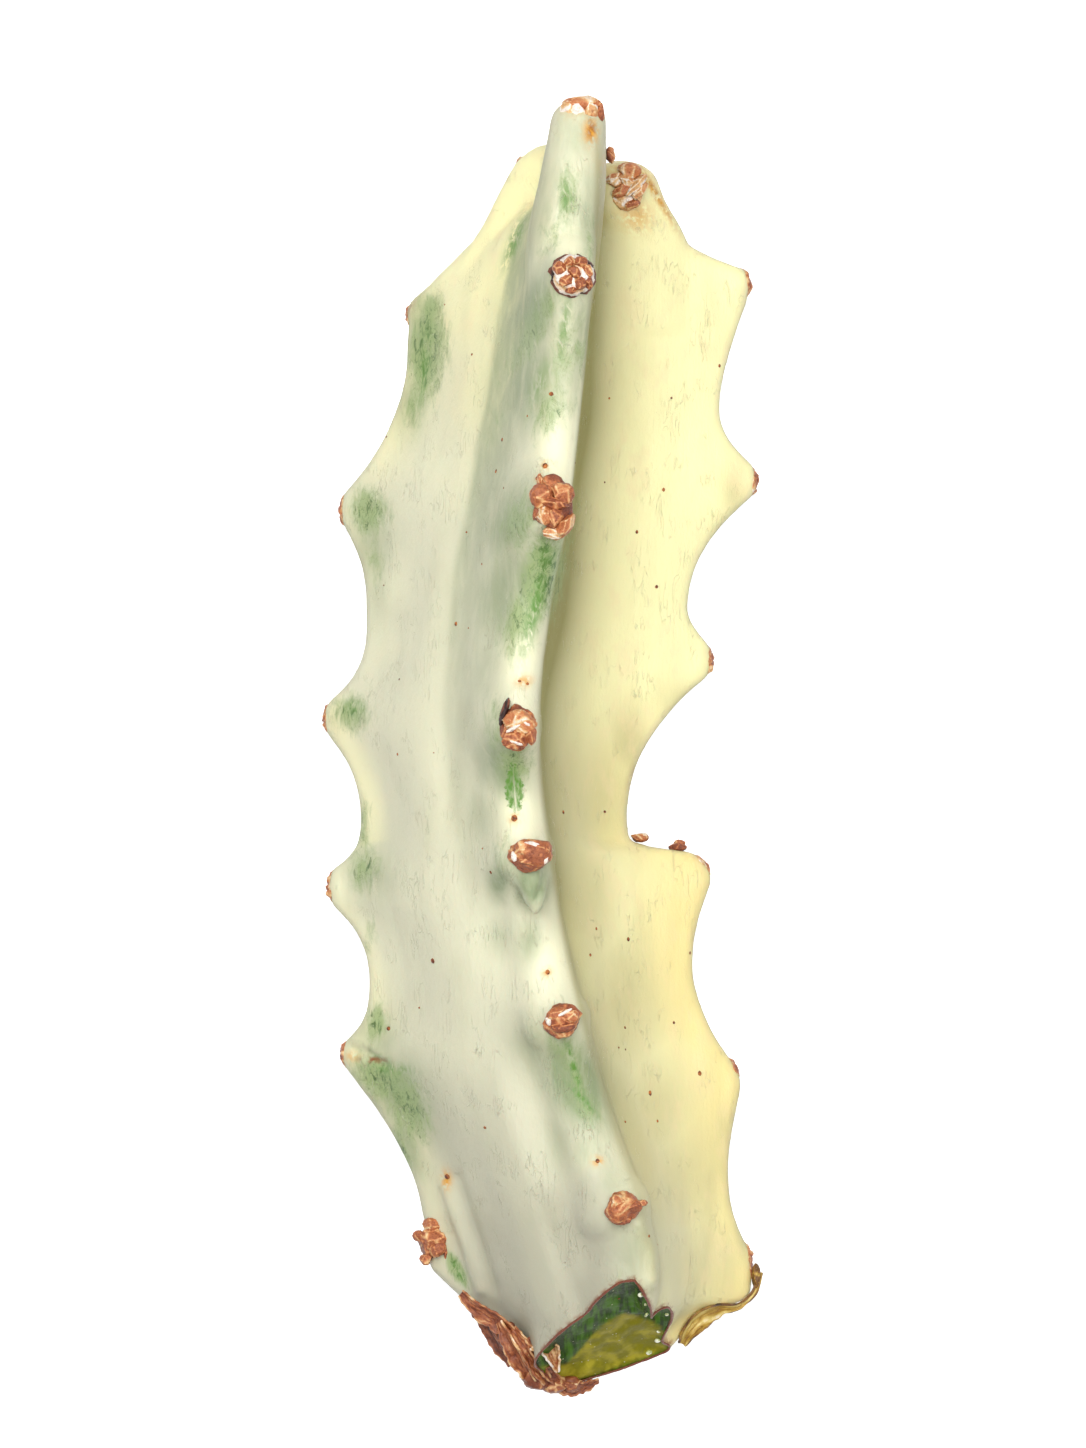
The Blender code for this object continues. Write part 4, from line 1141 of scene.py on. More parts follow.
    def _grid_inside(self, flat: np.ndarray) -> np.ndarray:
        """Gives points on a shaken grid inside a closed outline and clear of it."""
        low, high = flat.min(0), flat.max(0)
        rng = np.random.default_rng(self.cut_seed)
        xs, ys = np.meshgrid(np.arange(low[0], high[0], self.cut_grain),
                             np.arange(low[1], high[1], self.cut_grain))
        points = np.stack([xs.ravel(), ys.ravel()], axis=1)
        points += rng.uniform(-self.cut_shake, self.cut_shake, points.shape)
        ends = np.roll(flat, -1, axis=0)
        keep = []
        for point in points:
            above = (flat[:, 1] > point[1]) != (ends[:, 1] > point[1])
            rise = np.where(above, ends[:, 1] - flat[:, 1], 1.0)
            crossing = flat[:, 0] + (point[1] - flat[:, 1]) * (ends[:, 0] - flat[:, 0]) / rise
            inside = np.count_nonzero(above & (point[0] < crossing)) % 2 == 1
            if inside and np.min(np.linalg.norm(flat - point, axis=1)) > self.cut_grain * 0.7:
                keep.append(point)
        return np.array(keep)

    def _mask(self, mesh: bpy.types.Mesh) -> None:
        """Stores where the skin is warm, grey, cream, marbled, stained, darkened by painted shade
        and so on.
        """
        points, facing = points_of(mesh), normals_of(mesh)
        x, y, z = points.T
        rows = np.arange(-76.0, 76.0, 1.0)
        around, reach = self._around(points, rows)
        top = ease(facing[:, 2], -0.25, 0.15)
        ripple = np.array([noise.noise(Vector(p) * 0.12) for p in points])
        right = ease(around, 1.9, 1.2)
        left = ease(around, 2.1, 2.6)
        near_tip = ease(y + ripple * 8, 22.0, 58.0)
        near_base = ease(-y + ripple * 8, 18.0, 74.0)
        edge = ease(reach, 0.72, 0.98)
        warm = right * (0.72 + 0.28 * ease(around, 1.0, 0.1))
        warm *= 1 - 0.75 * ease(-y, 26.0, 52.0) * ease(around, 0.15, 0.8)
        warm += left * (near_tip * 0.9 + edge * 0.4 * (1 - near_base))
        cool = ease(around, 1.8, 2.2) * near_base * (1 - 0.35 * edge)
        crest = np.exp(-(((around - 2.0) / 0.16) ** 2)) * ease(y, -66.0, -50.0)
        past = x - np.interp(y, rows, [smooth_track(self.outline.front_x, at)[0] for at in rows])
        # Painted shade: olive in the furrow just right of the front rib, strongest beside its crest
        # and weaker toward the base.
        deep = np.interp(y, *np.array(self.olive_shade).T)
        olive = np.exp(-np.maximum(past - 2.5, 0.0) / 2.7) * ease(around, 1.97, 1.8) * deep
        steep = ease(facing[:, 2], 0.35, 0.0)
        olive *= np.maximum(ease(past, 1.5, 2.4), steep) * ease(around, -0.5, 0.2)
        olive *= 1 + 0.5 * np.exp(-(((y - 16) / 8) ** 2)) + 0.25 * np.exp(-(((y - 38) / 6) ** 2))
        line = np.exp(-(((past - 1.7) / 0.4) ** 2)) * ease(y, 8.0, 20.0) * ease(y, 66.0, 60.0)
        line *= 1 - steep
        # Painted shade: olive near the edges, where the skin faces sideways or down and turns away
        # from the light.
        rim = ease(facing[:, 2], 0.45, -0.05) * ease(reach, 0.6, 0.85)
        rim *= ease(facing[:, 2], -0.95, -0.5)
        # Grey green on the front rib's left flank: partly the skin's own colour, partly painted
        # shade on the steep flank.
        flank = ease(around, 2.12, 2.35) * ease(around + 0.1 * ripple, 3.02, 2.78)
        flank *= np.interp(y, *np.array(self.sage_shade).T)
        below = (1 - top) * ease(reach, 0.55, 0.95) * (0.4 + ripple)
        slid = points + np.stack([0 * x, self._slip(x, z), 0 * x], axis=1)
        cut = np.abs((slid - np.array(self.cut_point)) @ np.array(self.cut_facing))
        cream = self._spots(points, CREAM) * top
        inside = np.empty(len(points), np.float32)
        mesh.attributes["inside"].data.foreach_get("value", inside)
        heart = np.interp(x, *np.array(self.heart_edge).T)
        masks = {
            "warm": warm,
            "cool": cool,
            "cream": np.maximum(cream, np.maximum(crest * 0.15, line)),
            # Painted shade: olive in the right furrow and on edges that turn away.
            "olive": np.maximum(olive, rim * 0.7),
            "sage": np.maximum(self._spots(points, SAGE_AND_SHADE), flank * (1 - cream * 0.8)) * top,
            "gold": right * ease(reach, 0.5, 1.0) * ease(-y, -12.0, 20.0),
            "ochre": self._spots(points, OCHRE) * ease(around, 2.1, 1.5),
            "marble": self._spots(points, MARBLE) * top + below,
            "vivid": self._spots(points, VIVID) * top,
            "amber": self._spots(points, AMBER) * top,
            "rust": self._spots(points, RUST) * top + ease(cut, 0.5, 0.1) * 0.9,
            "rind": ease(y - heart + ripple, -0.3, 0.35) + ease(inside, 0.7, 0.2) * 0.8,
        }
        most = {"amber": 1.3, "rust": 1.2}
        for name, values in masks.items():
            carry(mesh, name, np.clip(values, 0, most.get(name, 1)))

    def _around(self, points: np.ndarray, rows: np.ndarray) -> tuple[np.ndarray, np.ndarray]:
        """Says where around the stem each point is and how near it is to its rib's edge.

        Args:
            points: The points.
            rows: Places along at which the outline is worked out.

        Returns:
            0 at the right rib, 1 at the right furrow, 2 at the front rib, 3 at the left furrow,
            4 at the left rib and 5 underneath; and 0 in a furrow to 1 on an edge.
        """
        marks, sizes = [], []
        for at in rows:
            centre = self.outline.middle(at)
            crests, furrows = self.outline.crests(at), self.outline.furrows(at)
            stops = [crests[0][0], furrows[0], crests[1][0], furrows[1], crests[2][0], furrows[2]]
            turns = [math.atan2(stop.y - centre.y, stop.x - centre.x) for stop in stops]
            whole = [turn + (2 * math.pi if turn < turns[0] else 0.0) for turn in turns]
            marks.append([whole[5] - 2 * math.pi, *whole])
            sizes.append([(stop - centre).length for stop in stops])
        marks_table, sizes_table = np.array(marks), np.array(sizes)
        y = points[:, 1]
        centre_table = np.array([tuple(self.outline.middle(at)) for at in rows])
        turn = np.arctan2(points[:, 2] - np.interp(y, rows, centre_table[:, 1]),
                          points[:, 0] - np.interp(y, rows, centre_table[:, 0]))
        here = np.stack([np.interp(y, rows, column) for column in marks_table.T], axis=1)
        turn = np.where(turn < here[:, 0], turn + 2 * math.pi, turn)
        around = np.full(len(points), 5.0)
        for index in range(len(stops)):
            low, high = here[:, index], here[:, index + 1]
            within = (turn >= low) & (turn < high)
            share = (turn - low) / np.maximum(high - low, 1e-6)
            around = np.where(within, index - 1 + share, around)
        around = np.where(around < 0, -around, around)
        crest = np.abs(1 - around % 2)
        far = np.hypot(points[:, 0] - np.interp(y, rows, centre_table[:, 0]),
                       points[:, 2] - np.interp(y, rows, centre_table[:, 1]))
        width = np.interp(y, rows, sizes_table.max(1))
        return around, np.clip(far / width, 0, 1) * np.clip(crest + 0.2, 0, 1)

    @staticmethod
    def _spots(points: np.ndarray, patches: Sequence[Patch]) -> np.ndarray:
        """Adds up soft patches, the strongest at each point."""
        strength = np.zeros(len(points))
        for patch in patches:
            along = points[:, 1] - patch.y
            across = points[:, 0] - patch.x - along * patch.lean
            near = (across / patch.across) ** 2 + (along / patch.along) ** 2
            strength = np.maximum(strength, patch.strength * np.exp(-near))
        return strength


# ------------------------------------------------------------------ dried clusters


class Crumple(Enum):
    """How a dried lobe has shrunk."""

    PLUMP = "soft cushions with creases between them"
    FACETED = "flat facets with sharp ridges between them"


@dataclass(frozen=True)
class Lobe:
    """One dried lobe: its place from its cluster's middle, its half sizes, its tone and its turn."""

    place: Triple
    size: Triple
    tone: float
    seed: int
    turn: float = 0.0
    way: Crumple = Crumple.FACETED
    detail: int = 4

    def add_to(self, shape: bmesh.types.BMesh, tones: bmesh.types.BMLayerItem,
               frame: Matrix) -> None:
        """Adds the lobe to a cluster.

        Args:
            shape: The cluster's mesh, in millimetres.
            tones: The layer that takes each point's tone.
            frame: Where the cluster is and which way it looks.
        """
        made = bmesh.ops.create_icosphere(shape, subdivisions=self.detail, radius=1.0)["verts"]
        rng = np.random.default_rng(self.seed)
        count = 9 if self.way is Crumple.FACETED else 6
        planes = rng.normal(size=(count, 3))
        planes[:, 2] += 0.45
        planes /= np.linalg.norm(planes, axis=1)[:, None]
        heights = rng.uniform(0.78, 1.04, count)
        outward = np.array([v.co.normalized() for v in made])
        dots = outward @ planes.T
        turn = Matrix.Rotation(self.turn, 4, "Z")
        for index, vertex in enumerate(made):
            way = Vector(outward[index])
            if self.way is Crumple.FACETED:
                radii = np.sort(heights / np.maximum(dots[index], 0.15))
                size = min(float(radii[0]), 1.15)
                ridge = math.exp(-(((radii[1] - radii[0]) / 0.09) ** 2))
                tone = self.tone + 0.34 * ridge
            else:
                near = np.sort(dots[index])[::-1]
                crease = min(1.0, (near[0] - near[1]) * 4.0)
                size = 0.78 + 0.26 * math.sqrt(crease)
                # Painted shade: darker in the creases between the cushions.
                tone = self.tone - 0.35 * (1 - crease)
            wrinkle = noise.turbulence(way * 2.1 + Vector((self.seed, 0, 0)), 3, True) - 0.55
            size *= 1 + 0.16 * wrinkle
            # Random wrinkles shift the tone; the darkening of the undersides is painted shade.
            tone += 0.18 * wrinkle - 0.28 * max(0.0, -way.z)
            vertex[tones] = tone
            local = Vector((way.x * self.size[0], way.y * self.size[1], way.z * self.size[2]))
            vertex.co = frame @ (Vector(self.place) + (turn @ local) * size)


def lobes(seed: int, *rows: Sequence[float], way: Crumple = Crumple.FACETED) -> tuple[Lobe, ...]:
    """Makes lobes from rows of numbers, with seeds that count up.

    Args:
        seed: The first lobe's seed.
        rows: Each has a place and half sizes of three numbers, a tone and, if it has one, a turn.
        way: How the lobes have shrunk.

    Returns:
        The lobes.
    """
    return tuple(Lobe(row[:3], row[3:6], row[6], seed + index, sum(row[7:]), way)
                 for index, row in enumerate(rows))


@dataclass(frozen=True)
class Cluster:
    """The dried flower on a tooth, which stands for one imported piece."""

    node: str
    facing: Triple
    lobes: tuple[Lobe, ...]
    shift: Triple = (0.0, 0.0, 0.0)

    def build(self, material: bpy.types.Material) -> bpy.types.Object:
        """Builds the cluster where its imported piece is.

        Args:
            material: What it is made of.

        Returns:
            The dressed cluster.
        """
        low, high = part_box(self.node)
        middle = (low + high) / 2 / MM - TO_FRAME + Vector(self.shift)
        facing = Vector(self.facing).normalized()
        side = Vector((0.0, 1.0, 0.0)).cross(facing)
        side = side.normalized() if side.length > 0.5 else Vector((1.0, 0.0, 0.0))
        axes = Matrix((side, facing.cross(side), facing)).transposed().to_4x4()
        shape = bmesh.new()
        tones = shape.verts.layers.float.new("tone")
        for lobe in self.lobes:
            lobe.add_to(shape, tones, Matrix.Translation(middle) @ axes)
        name = self.node.replace("bud", "dried_flower").replace("scab", "dried_scab")
        return add_object(name, mesh_from(name, shape), material)


CLUSTERS = (
    Cluster("bud_front_tip", (0.02, 0.93, 0.36), lobes(
            11, (0, 0, -0.5, 2.5, 2.2, 1.2, 0.55), (-1.6, -3, 0.3, 0.9, 0.7, 1.2, 0.72, -0.3),
            (-0.4, -3.5, 0.1, 0.85, 0.55, 1.4, 0.98),
            (0.9, -3.4, 0.3, 0.85, 0.55, 1.3, 0.66, 0.2),
            (1.9, -2.7, 0.1, 0.6, 0.8, 1.3, 0.42, 0.4), (0.1, -2.7, 1.3, 1.9, 1, 0.7, 0.55)),
            (0, -0.9, 0.9)),
    Cluster("bud_front_2", (0.05, 0.1, 0.98), (
        lobes(18, (0, 0, -0.8, 2.6, 2.5, 1, 0.2), way=Crumple.PLUMP)
        + lobes(21, (0, 0, -0.3, 2.4, 2.35, 1.4, 1.05), way=Crumple.PLUMP)
        + lobes(
            22, (-1.5, 0.7, 0.5, 0.8, 0.75, 0.75, 0.4),
            (-0.4, 1.4, 0.75, 0.62, 0.6, 0.65, 0.44, 0.3), (0.85, 1.4, 0.7, 0.7, 0.6, 0.65, 0.38),
            (1.65, 0.4, 0.6, 0.6, 0.7, 0.65, 0.44, 0.4),
            (0.1, 0.15, 1, 0.75, 0.6, 0.65, 0.36, -0.4),
            (0.75, -1.1, 0.75, 0.65, 0.8, 0.65, 0.38, 0.3),
            (1.75, -0.95, 0.35, 0.5, 0.65, 0.55, 0.34, 0.2),
            (-0.85, -0.75, 0.8, 0.8, 0.62, 0.6, 0.4, 0.8))
        + lobes(20, (-0.2, -1.8, 0.4, 0.7, 0.42, 0.45, 0.38, 0.2)))),
    Cluster("bud_front_3", (0.1, 0.08, 0.98), lobes(
            31, (0, 0.3, -0.4, 2.1, 3.2, 1.1, 0.26), (-1.2, 2.9, 0.1, 0.5, 1, 0.6, 0.5, 0.2),
            (-1.3, 1.4, 0.55, 1.2, 1.3, 1, 0.42), (1.1, 1.7, 0.6, 1.25, 1.25, 1.1, 0.4, 0.5),
            (0.2, 0.6, 0.7, 1.7, 0.7, 0.9, 0.34, -0.2), (-1, -0.8, 0.5, 0.95, 1, 0.8, 0.58, 0.4),
            (0.2, -1.1, 0.7, 0.9, 1.1, 0.85, 0.38),
            (1.45, -1.9, 0.6, 0.75, 1.45, 0.9, 0.5, -0.65), (0.2, -2.7, 0.1, 1.2, 0.75, 0.6, 0.6))),
    Cluster("bud_front_4", (0.02, 0.1, 0.98), (
        lobes(41, (0.1, -0.4, -0.2, 1.9, 2.4, 1.2, 0.3))
        + lobes(42, (-1.55, 1.5, 0.1, 0.42, 1.7, 0.6, 0.22, -0.3), way=Crumple.PLUMP)
        + lobes(
            43, (0.2, 0.3, 0.8, 1.75, 1.3, 0.9, 0.56), (-0.3, -1.6, 0.5, 1.5, 1.1, 0.85, 0.36),
            (1.35, -1.1, 0.3, 0.75, 1.1, 0.8, 0.42), (-0.5, -0.45, 1.25, 0.9, 0.22, 0.3, 1, 0.5),
            (0.9, 0.1, 1.3, 0.5, 0.2, 0.3, 1, -0.6), (-0.2, -2.1, 1, 0.8, 0.2, 0.3, 0.95, -0.3)))),
    Cluster("bud_front_5", (0.02, 0.1, 0.98), lobes(
            51, (0, 0, 0, 2.3, 1.9, 1.5, 0.38), (-0.8, 0.5, 0.9, 1.1, 0.9, 0.7, 0.44, 0.3),
            (1, 0.4, 0.8, 1, 0.9, 0.7, 0.4), (0.1, -0.8, 0.8, 1.3, 0.7, 0.6, 0.36),
            (0.2, 0.95, 1.25, 1, 0.28, 0.35, 1.05, -0.25),
            (-1.9, -0.4, 0.75, 0.28, 0.55, 0.4, 1, 0.2),
            (1.7, -0.8, 0.8, 0.3, 0.5, 0.4, 0.95, -0.3))),
    Cluster("bud_front_6", (0.02, 0.1, 0.98), lobes(
            61, (0, 0, 0, 2.1, 1.8, 1.4, 0.34), (-0.7, 0.7, 0.8, 1, 0.7, 0.65, 0.44, 0.3),
            (0.9, 0.5, 0.8, 0.9, 0.8, 0.65, 0.48), (0, -0.8, 0.75, 1.3, 0.6, 0.6, 0.32, 0.1),
            (0.2, 0.8, 1.2, 0.9, 0.2, 0.35, 1, 0.5), (-1.6, -0.1, 0.75, 0.3, 0.5, 0.4, 0.95, 0.3))),
    Cluster("bud_front_7", (0.08, 0.08, 0.98), lobes(
            71, (-0.2, 0.1, 0.1, 1.85, 1.75, 1.5, 0.4), (-0.5, 0.6, 0.8, 1.2, 1, 0.8, 0.46),
            (1, 0.2, 0.6, 1, 0.8, 0.8, 0.38), (2.05, 0.55, 0.55, 0.6, 0.38, 0.38, 0.42, 0.3),
            (-0.4, -1.2, 0.3, 1.2, 0.6, 0.6, 0.34))),
    Cluster("bud_left_7", (-0.2, 0, 0.98), lobes(
            81, (0, -0.2, -0.2, 1.9, 2, 1.3, 0.32), (-0.2, 1.8, 0.4, 1.05, 0.8, 0.65, 0.46),
            (0, 0.2, 0.6, 1.5, 1.2, 1, 0.42), (-1.7, 0.6, 0.3, 0.7, 0.6, 0.6, 0.4),
            (0.5, -0.9, 0.7, 1.1, 0.8, 0.8, 0.38, 0.5),
            (1.6, -1.2, 0.1, 0.7, 1.1, 0.7, 0.26, 0.2), (-0.9, -2.1, 0.1, 0.7, 0.65, 0.6, 0.42))),
    Cluster("bud_right_tip", (0.05, 0.1, 0.98), (
        lobes(
            91, (-0.2, -0.2, -0.5, 1.8, 2.5, 0.8, 0.66), (0.1, 1.5, 0.4, 1.3, 0.9, 0.8, 0.56),
            (0.9, -0.2, 0.6, 0.6, 1.6, 0.65, 0.68, -0.8),
            (1.35, -0.9, 0.45, 0.5, 1.2, 0.55, 0.62, -0.7),
            (-1.4, 0.5, 0.35, 1.1, 0.75, 0.65, 0.58, 0.2),
            (-0.7, -0.7, 0.4, 1.1, 0.7, 0.6, 0.5, 0.5))
        + lobes(98, (-0.2, 0.4, 0.7, 0.9, 0.6, 0.6, 0.62, -0.3))
        + lobes(97, (0.5, -2.3, 0, 0.9, 0.5, 0.5, 0.42, 0.4)))),
    Cluster("bud_between_horns", (0.9, 0.36, -0.2),
            lobes(101, (0, 0, 0, 0.6, 0.8, 0.5, 0.42), (0, 0.5, 0.2, 0.4, 0.5, 0.4, 0.56))),
    Cluster("scab_right_hollow", (-0.1, 0.98, 0.1),
            lobes(111, (0, 0, 0, 1, 0.8, 0.5, 0.5), (0.5, 0.1, 0.2, 0.5, 0.5, 0.35, 0.85))),
    Cluster("scab_right_tooth", (0, 0.98, 0.1),
            lobes(113, (0, 0, 0, 1, 0.8, 0.5, 0.3), (0.1, 0.1, 0.4, 0.7, 0.4, 0.45, 0.42))),
)


# ------------------------------------------------------------------ crusts on the skin


@dataclass(frozen=True)
class Crust:
    """A thin dried crust that lies on the skin around one place, with a ragged outline."""

    node: str
    size: Triple  # half sizes across, along and up
    tone: float
    seed: int
    thickness: float = 0.32
    depth: float = 0.3

    def build(self, body: bpy.types.Mesh, material: bpy.types.Material) -> bpy.types.Object:
        """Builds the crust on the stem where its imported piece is.

        Args:
            body: The stem's mesh.
            material: What the crust is made of.

        Returns:
            The dressed crust.
        """
        low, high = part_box(self.node)
        middle = (low + high) / 2 / MM - TO_FRAME
        shape = self._skin_near(body, middle)
        tones = shape.verts.layers.float.new("tone")
        shape.normal_update()
        far = {}
        for vertex in shape.verts:
            off = vertex.co - middle
            share = Vector((off.x / self.size[0], off.y / self.size[1], off.z / self.size[2])).length
            far[vertex] = share + 0.32 * noise.noise(vertex.co * 1.1 + Vector((self.seed, 0, 0)))
        gone = [f for f in shape.faces if sum(far[v] for v in f.verts) / len(f.verts) > 1.0]
        bmesh.ops.delete(shape, geom=gone, context="FACES")
        for vertex in shape.verts:
            place = vertex.co * 1.3 + Vector((0, self.seed, 0))
            lump = noise.turbulence(place, 3, True)
            rim = float(ease(np.array(far[vertex]), 0.55, 1.0))
            vertex[tones] = self.tone + 0.5 * (lump - 0.5) + 0.28 * rim
            vertex.co += vertex.normal * (self.thickness * (0.35 + 1.3 * lump) * (1 - 0.8 * rim))
        bmesh.ops.solidify(shape, geom=shape.faces[:], thickness=self.depth)
        name = self.node.replace("bud", "dried_pad")
        return add_object(name, mesh_from(name, shape), material)

    def _skin_near(self, body: bpy.types.Mesh, middle: Vector) -> bmesh.types.BMesh:
        """Copies the skin around the place, in millimetres and four times as fine."""
        points = points_of(body)
        near = np.linalg.norm((points - np.array(middle)) / np.array(self.size), axis=1) < 1.5
        shape = bmesh.new()
        made = {}
        for face in body.polygons:
            if all(near[index] for index in face.vertices):
                for index in face.vertices:
                    if index not in made:
                        made[index] = shape.verts.new(points[index])
                shape.faces.new([made[index] for index in face.vertices])
        bmesh.ops.subdivide_edges(shape, edges=shape.edges[:], cuts=3, use_grid_fill=True,
                                  smooth=0.3)
        return shape


CRUSTS = tuple(Crust("bud_" + tooth, size, tone, seed) for tooth, size, tone, seed in (
    ("left_tip", (1.3, 1.2, 1.4), 0.5, 201), ("left_2", (1.0, 1.5, 1.4), 0.36, 211),
    ("left_3", (1.0, 2.2, 1.5), 0.4, 221), ("left_4", (1.0, 1.9, 1.6), 0.44, 231),
    ("left_5", (1.0, 2.0, 1.6), 0.42, 241), ("left_6", (1.0, 1.9, 1.6), 0.36, 251),
    ("right_2", (1.0, 2.1, 1.6), 0.42, 301), ("right_3", (0.9, 2.2, 1.6), 0.4, 311),
    ("right_4", (0.9, 2.2, 1.6), 0.42, 321), ("right_5", (1.2, 2.0, 1.6), 0.46, 331),
    ("right_6", (1.0, 1.6, 1.5), 0.4, 341), ("right_7", (1.1, 2.8, 1.7), 0.42, 351),
))


# ------------------------------------------------------------------ dried flaps


@dataclass(frozen=True)
class Flap:
    """A curled strip of dried skin along a line, with ribs across it and ragged edges."""

    line: tuple[Triple, ...]
    half_widths: tuple[float, ...]
    facing: Triple
    curl: float
    tone: float
    seed: int
    edge_tone: float = 0.0
    rows: int = 44
    columns: int = 15

    def add_to(self, shape: bmesh.types.BMesh, tones: bmesh.types.BMLayerItem) -> None:
        """Adds the strip's upper face; its thickness comes later."""
        stations = np.linspace(0, 1, len(self.line))
        table = [(s, *p, w) for s, p, w in zip(stations, self.line, self.half_widths)]
        facing = Vector(self.facing).normalized()
        grid = []
        for row in range(self.rows):
            share = row / (self.rows - 1)
            here = smooth_track(table, share)
            ahead = smooth_track(table, min(share + 0.02, 1.0))
            behind = smooth_track(table, max(share - 0.02, 0.0))
            tangent = Vector(ahead[:3] - behind[:3]).normalized()
            side = tangent.cross(facing).normalized()
            out = side.cross(tangent)
            strip = []
            for column in range(self.columns):
                v = 2 * column / (self.columns - 1) - 1
                wobble = noise.noise(Vector((share * 9, v * 0.6, self.seed)))
                ragged = 1 + 0.28 * noise.noise(Vector((share * 14, math.copysign(3, v), self.seed)))
                half = float(here[3]) * ragged
                angle = v * self.curl / 2
                radius = half / max(math.sin(min(self.curl, math.pi) / 2), 0.3)
                across = math.sin(angle) * radius
                rise = (1 - math.cos(angle)) * radius
                crimp = noise.turbulence(Vector((share * 5, v * 3.2, self.seed + 0.5)), 2, True)
                lift = rise + 0.22 * half * wobble + 0.3 * (crimp - 0.5)
                place = Vector(here[:3]) + side * across + out * lift
                vertex = shape.verts.new(place)
                edge = ease(np.array(abs(v)), 0.62, 1.0)
                fibre = noise.noise(Vector((share * 3, v * 4, self.seed + 7)))
                # The tone follows the crimp that lifts the strip: painted highlight on raised crimps
                # and painted shade in sunk ones.
                vertex[tones] = (self.tone + self.edge_tone * float(edge) ** 2 + 0.12 * fibre
                                 + 0.5 * (crimp - 0.45))
                strip.append(vertex)
            grid.append(strip)
        for low, high in zip(grid, grid[1:]):
            for index in range(self.columns - 1):
                shape.faces.new((low[index], low[index + 1], high[index + 1], high[index]))


@dataclass
class Flaps:
    """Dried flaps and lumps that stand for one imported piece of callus."""

    node: str
    name: str
    flaps: tuple[Flap, ...]
    lumps: tuple[Lobe, ...] = ()
    thickness: float = 0.28

    def build(self, material: bpy.types.Material) -> bpy.types.Object:
        """Builds the flaps and the lumps.

        Args:
            material: What they are made of.

        Returns:
            The dressed callus or rim as one piece.
        """
        shape = bmesh.new()
        tones = shape.verts.layers.float.new("tone")
        for flap in self.flaps:
            flap.add_to(shape, tones)
        obj = add_object(self.name, mesh_from(self.name, shape), material)
        wall = obj.modifiers.new("wall", "SOLIDIFY")
        wall.thickness = self.thickness * MM
        wall.offset = 0.0
        rounds = obj.modifiers.new("rounds", "SUBSURF")
        rounds.levels = 1
        rounds.render_levels = 1
        mesh = settled(obj)
        both = bmesh.new()
        both.from_mesh(mesh)
        bmesh.ops.scale(both, vec=(1 / MM,) * 3, verts=both.verts)
        bmesh.ops.translate(both, vec=-TO_FRAME, verts=both.verts)
        tones = both.verts.layers.float["tone"]
        for lump in self.lumps:
            lump.add_to(both, tones, Matrix.Identity(4))
        done = mesh_from(self.name, both)
        obj.data = done
        if not done.materials:
            done.materials.append(material)
        return obj


CALLUS = Flaps("callus", "callus_flaps", (
    Flap(((-9.7, -63.2, 8.6), (-7.8, -65.0, 9.6), (-5.6, -66.4, 10.6), (-3.6, -67.8, 11.2)),
         (0.45, 0.9, 1.1, 0.8), (-0.2, -0.3, 0.9), 1.8, 0.42, 401, 0.15),
    Flap(((-8.9, -64.3, 7.6), (-7.0, -66.6, 8.4), (-5.4, -69.0, 8.8), (-3.6, -71.4, 8.8)),
         (0.5, 0.9, 1.0, 0.8), (-0.7, -0.3, 0.6), 1.6, 0.32, 402, 0.2),
    Flap(((-5.2, -66.4, 10.8), (-3.9, -69.0, 11.4), (-2.6, -71.4, 10.8), (-1.2, -73.6, 9.4)),
         (0.5, 0.95, 0.95, 0.6), (-0.5, -0.2, 0.85), 2.4, 0.46, 403, 0.2),
    Flap(((-3.8, -67.2, 11.6), (-2.2, -69.4, 12.2), (-1.0, -71.4, 11.4), (0.3, -73.4, 10.0)),
         (0.5, 0.8, 0.85, 0.6), (0.1, -0.2, 0.95), 2.6, 0.5, 404, 0.15),
    Flap(((-2.0, -68.2, 12.2), (-0.8, -70.0, 12.2), (0.2, -72.0, 11.0), (1.4, -73.4, 9.6)),
         (0.5, 0.8, 0.8, 0.5), (0.4, -0.3, 0.85), 2.2, 0.4, 405, 0.25),
    Flap(((-0.9, -68.3, 13.0), (0.2, -69.0, 13.4), (0.9, -70.4, 13.0), (1.4, -72.2, 12.0)),
         (1.0, 1.05, 0.7, 0.15), (0.3, -0.5, 0.8), 3.4, 0.66, 406, 0.2),
    Flap(((0.8, -69.4, 12.6), (2.2, -67.8, 13.2), (3.8, -66.4, 13.8), (5.4, -65.2, 14.6)),
         (0.5, 0.8, 0.6, 0.15), (0.0, -0.6, 0.8), 1.4, 0.82, 407, -0.1),
    Flap(((1.0, -73.6, 8.6), (2.8, -74.2, 8.2), (4.6, -74.0, 7.6), (6.2, -73.4, 7.0)),
         (0.7, 0.9, 0.7, 0.3), (0.1, -0.5, 0.85), 2.0, 0.4, 408, 0.2),
), lobes(
    421, (-0.8, -72.8, 9.4, 1.7, 1.4, 1.4, 0.34), (1, -73.6, 8.8, 1.5, 1.1, 1.2, 0.42),
    (2.8, -73.8, 8, 1.4, 0.9, 1.1, 0.4), (-2.4, -70.6, 9.8, 1.6, 1.7, 1.4, 0.3),
    (-4, -68.2, 9.4, 1.4, 1.6, 1.3, 0.3), (0.4, -71.2, 10.2, 1.2, 1.3, 1.2, 0.3)))
DRY_RIM = Flaps("dry_rim", "dry_rim_flap", (
    Flap(((15.8, -69.2, 6.8), (16.8, -67.4, 7.6), (18.2, -66.0, 7.2), (20.2, -65.2, 5.8),
          (22.4, -64.9, 4.6), (24.2, -63.4, 3.8), (25.0, -61.0, 3.4)),
         (0.45, 0.95, 1.1, 0.75, 0.4, 0.3, 0.25), (0.1, -0.35, 0.93), 2.6, 0.56, 431, -0.3),
), lobes(432, (24.5, -61.6, 3.4, 0.5, 1.4, 0.7, 0.25)), 0.3)


# ------------------------------------------------------------------ repeated details


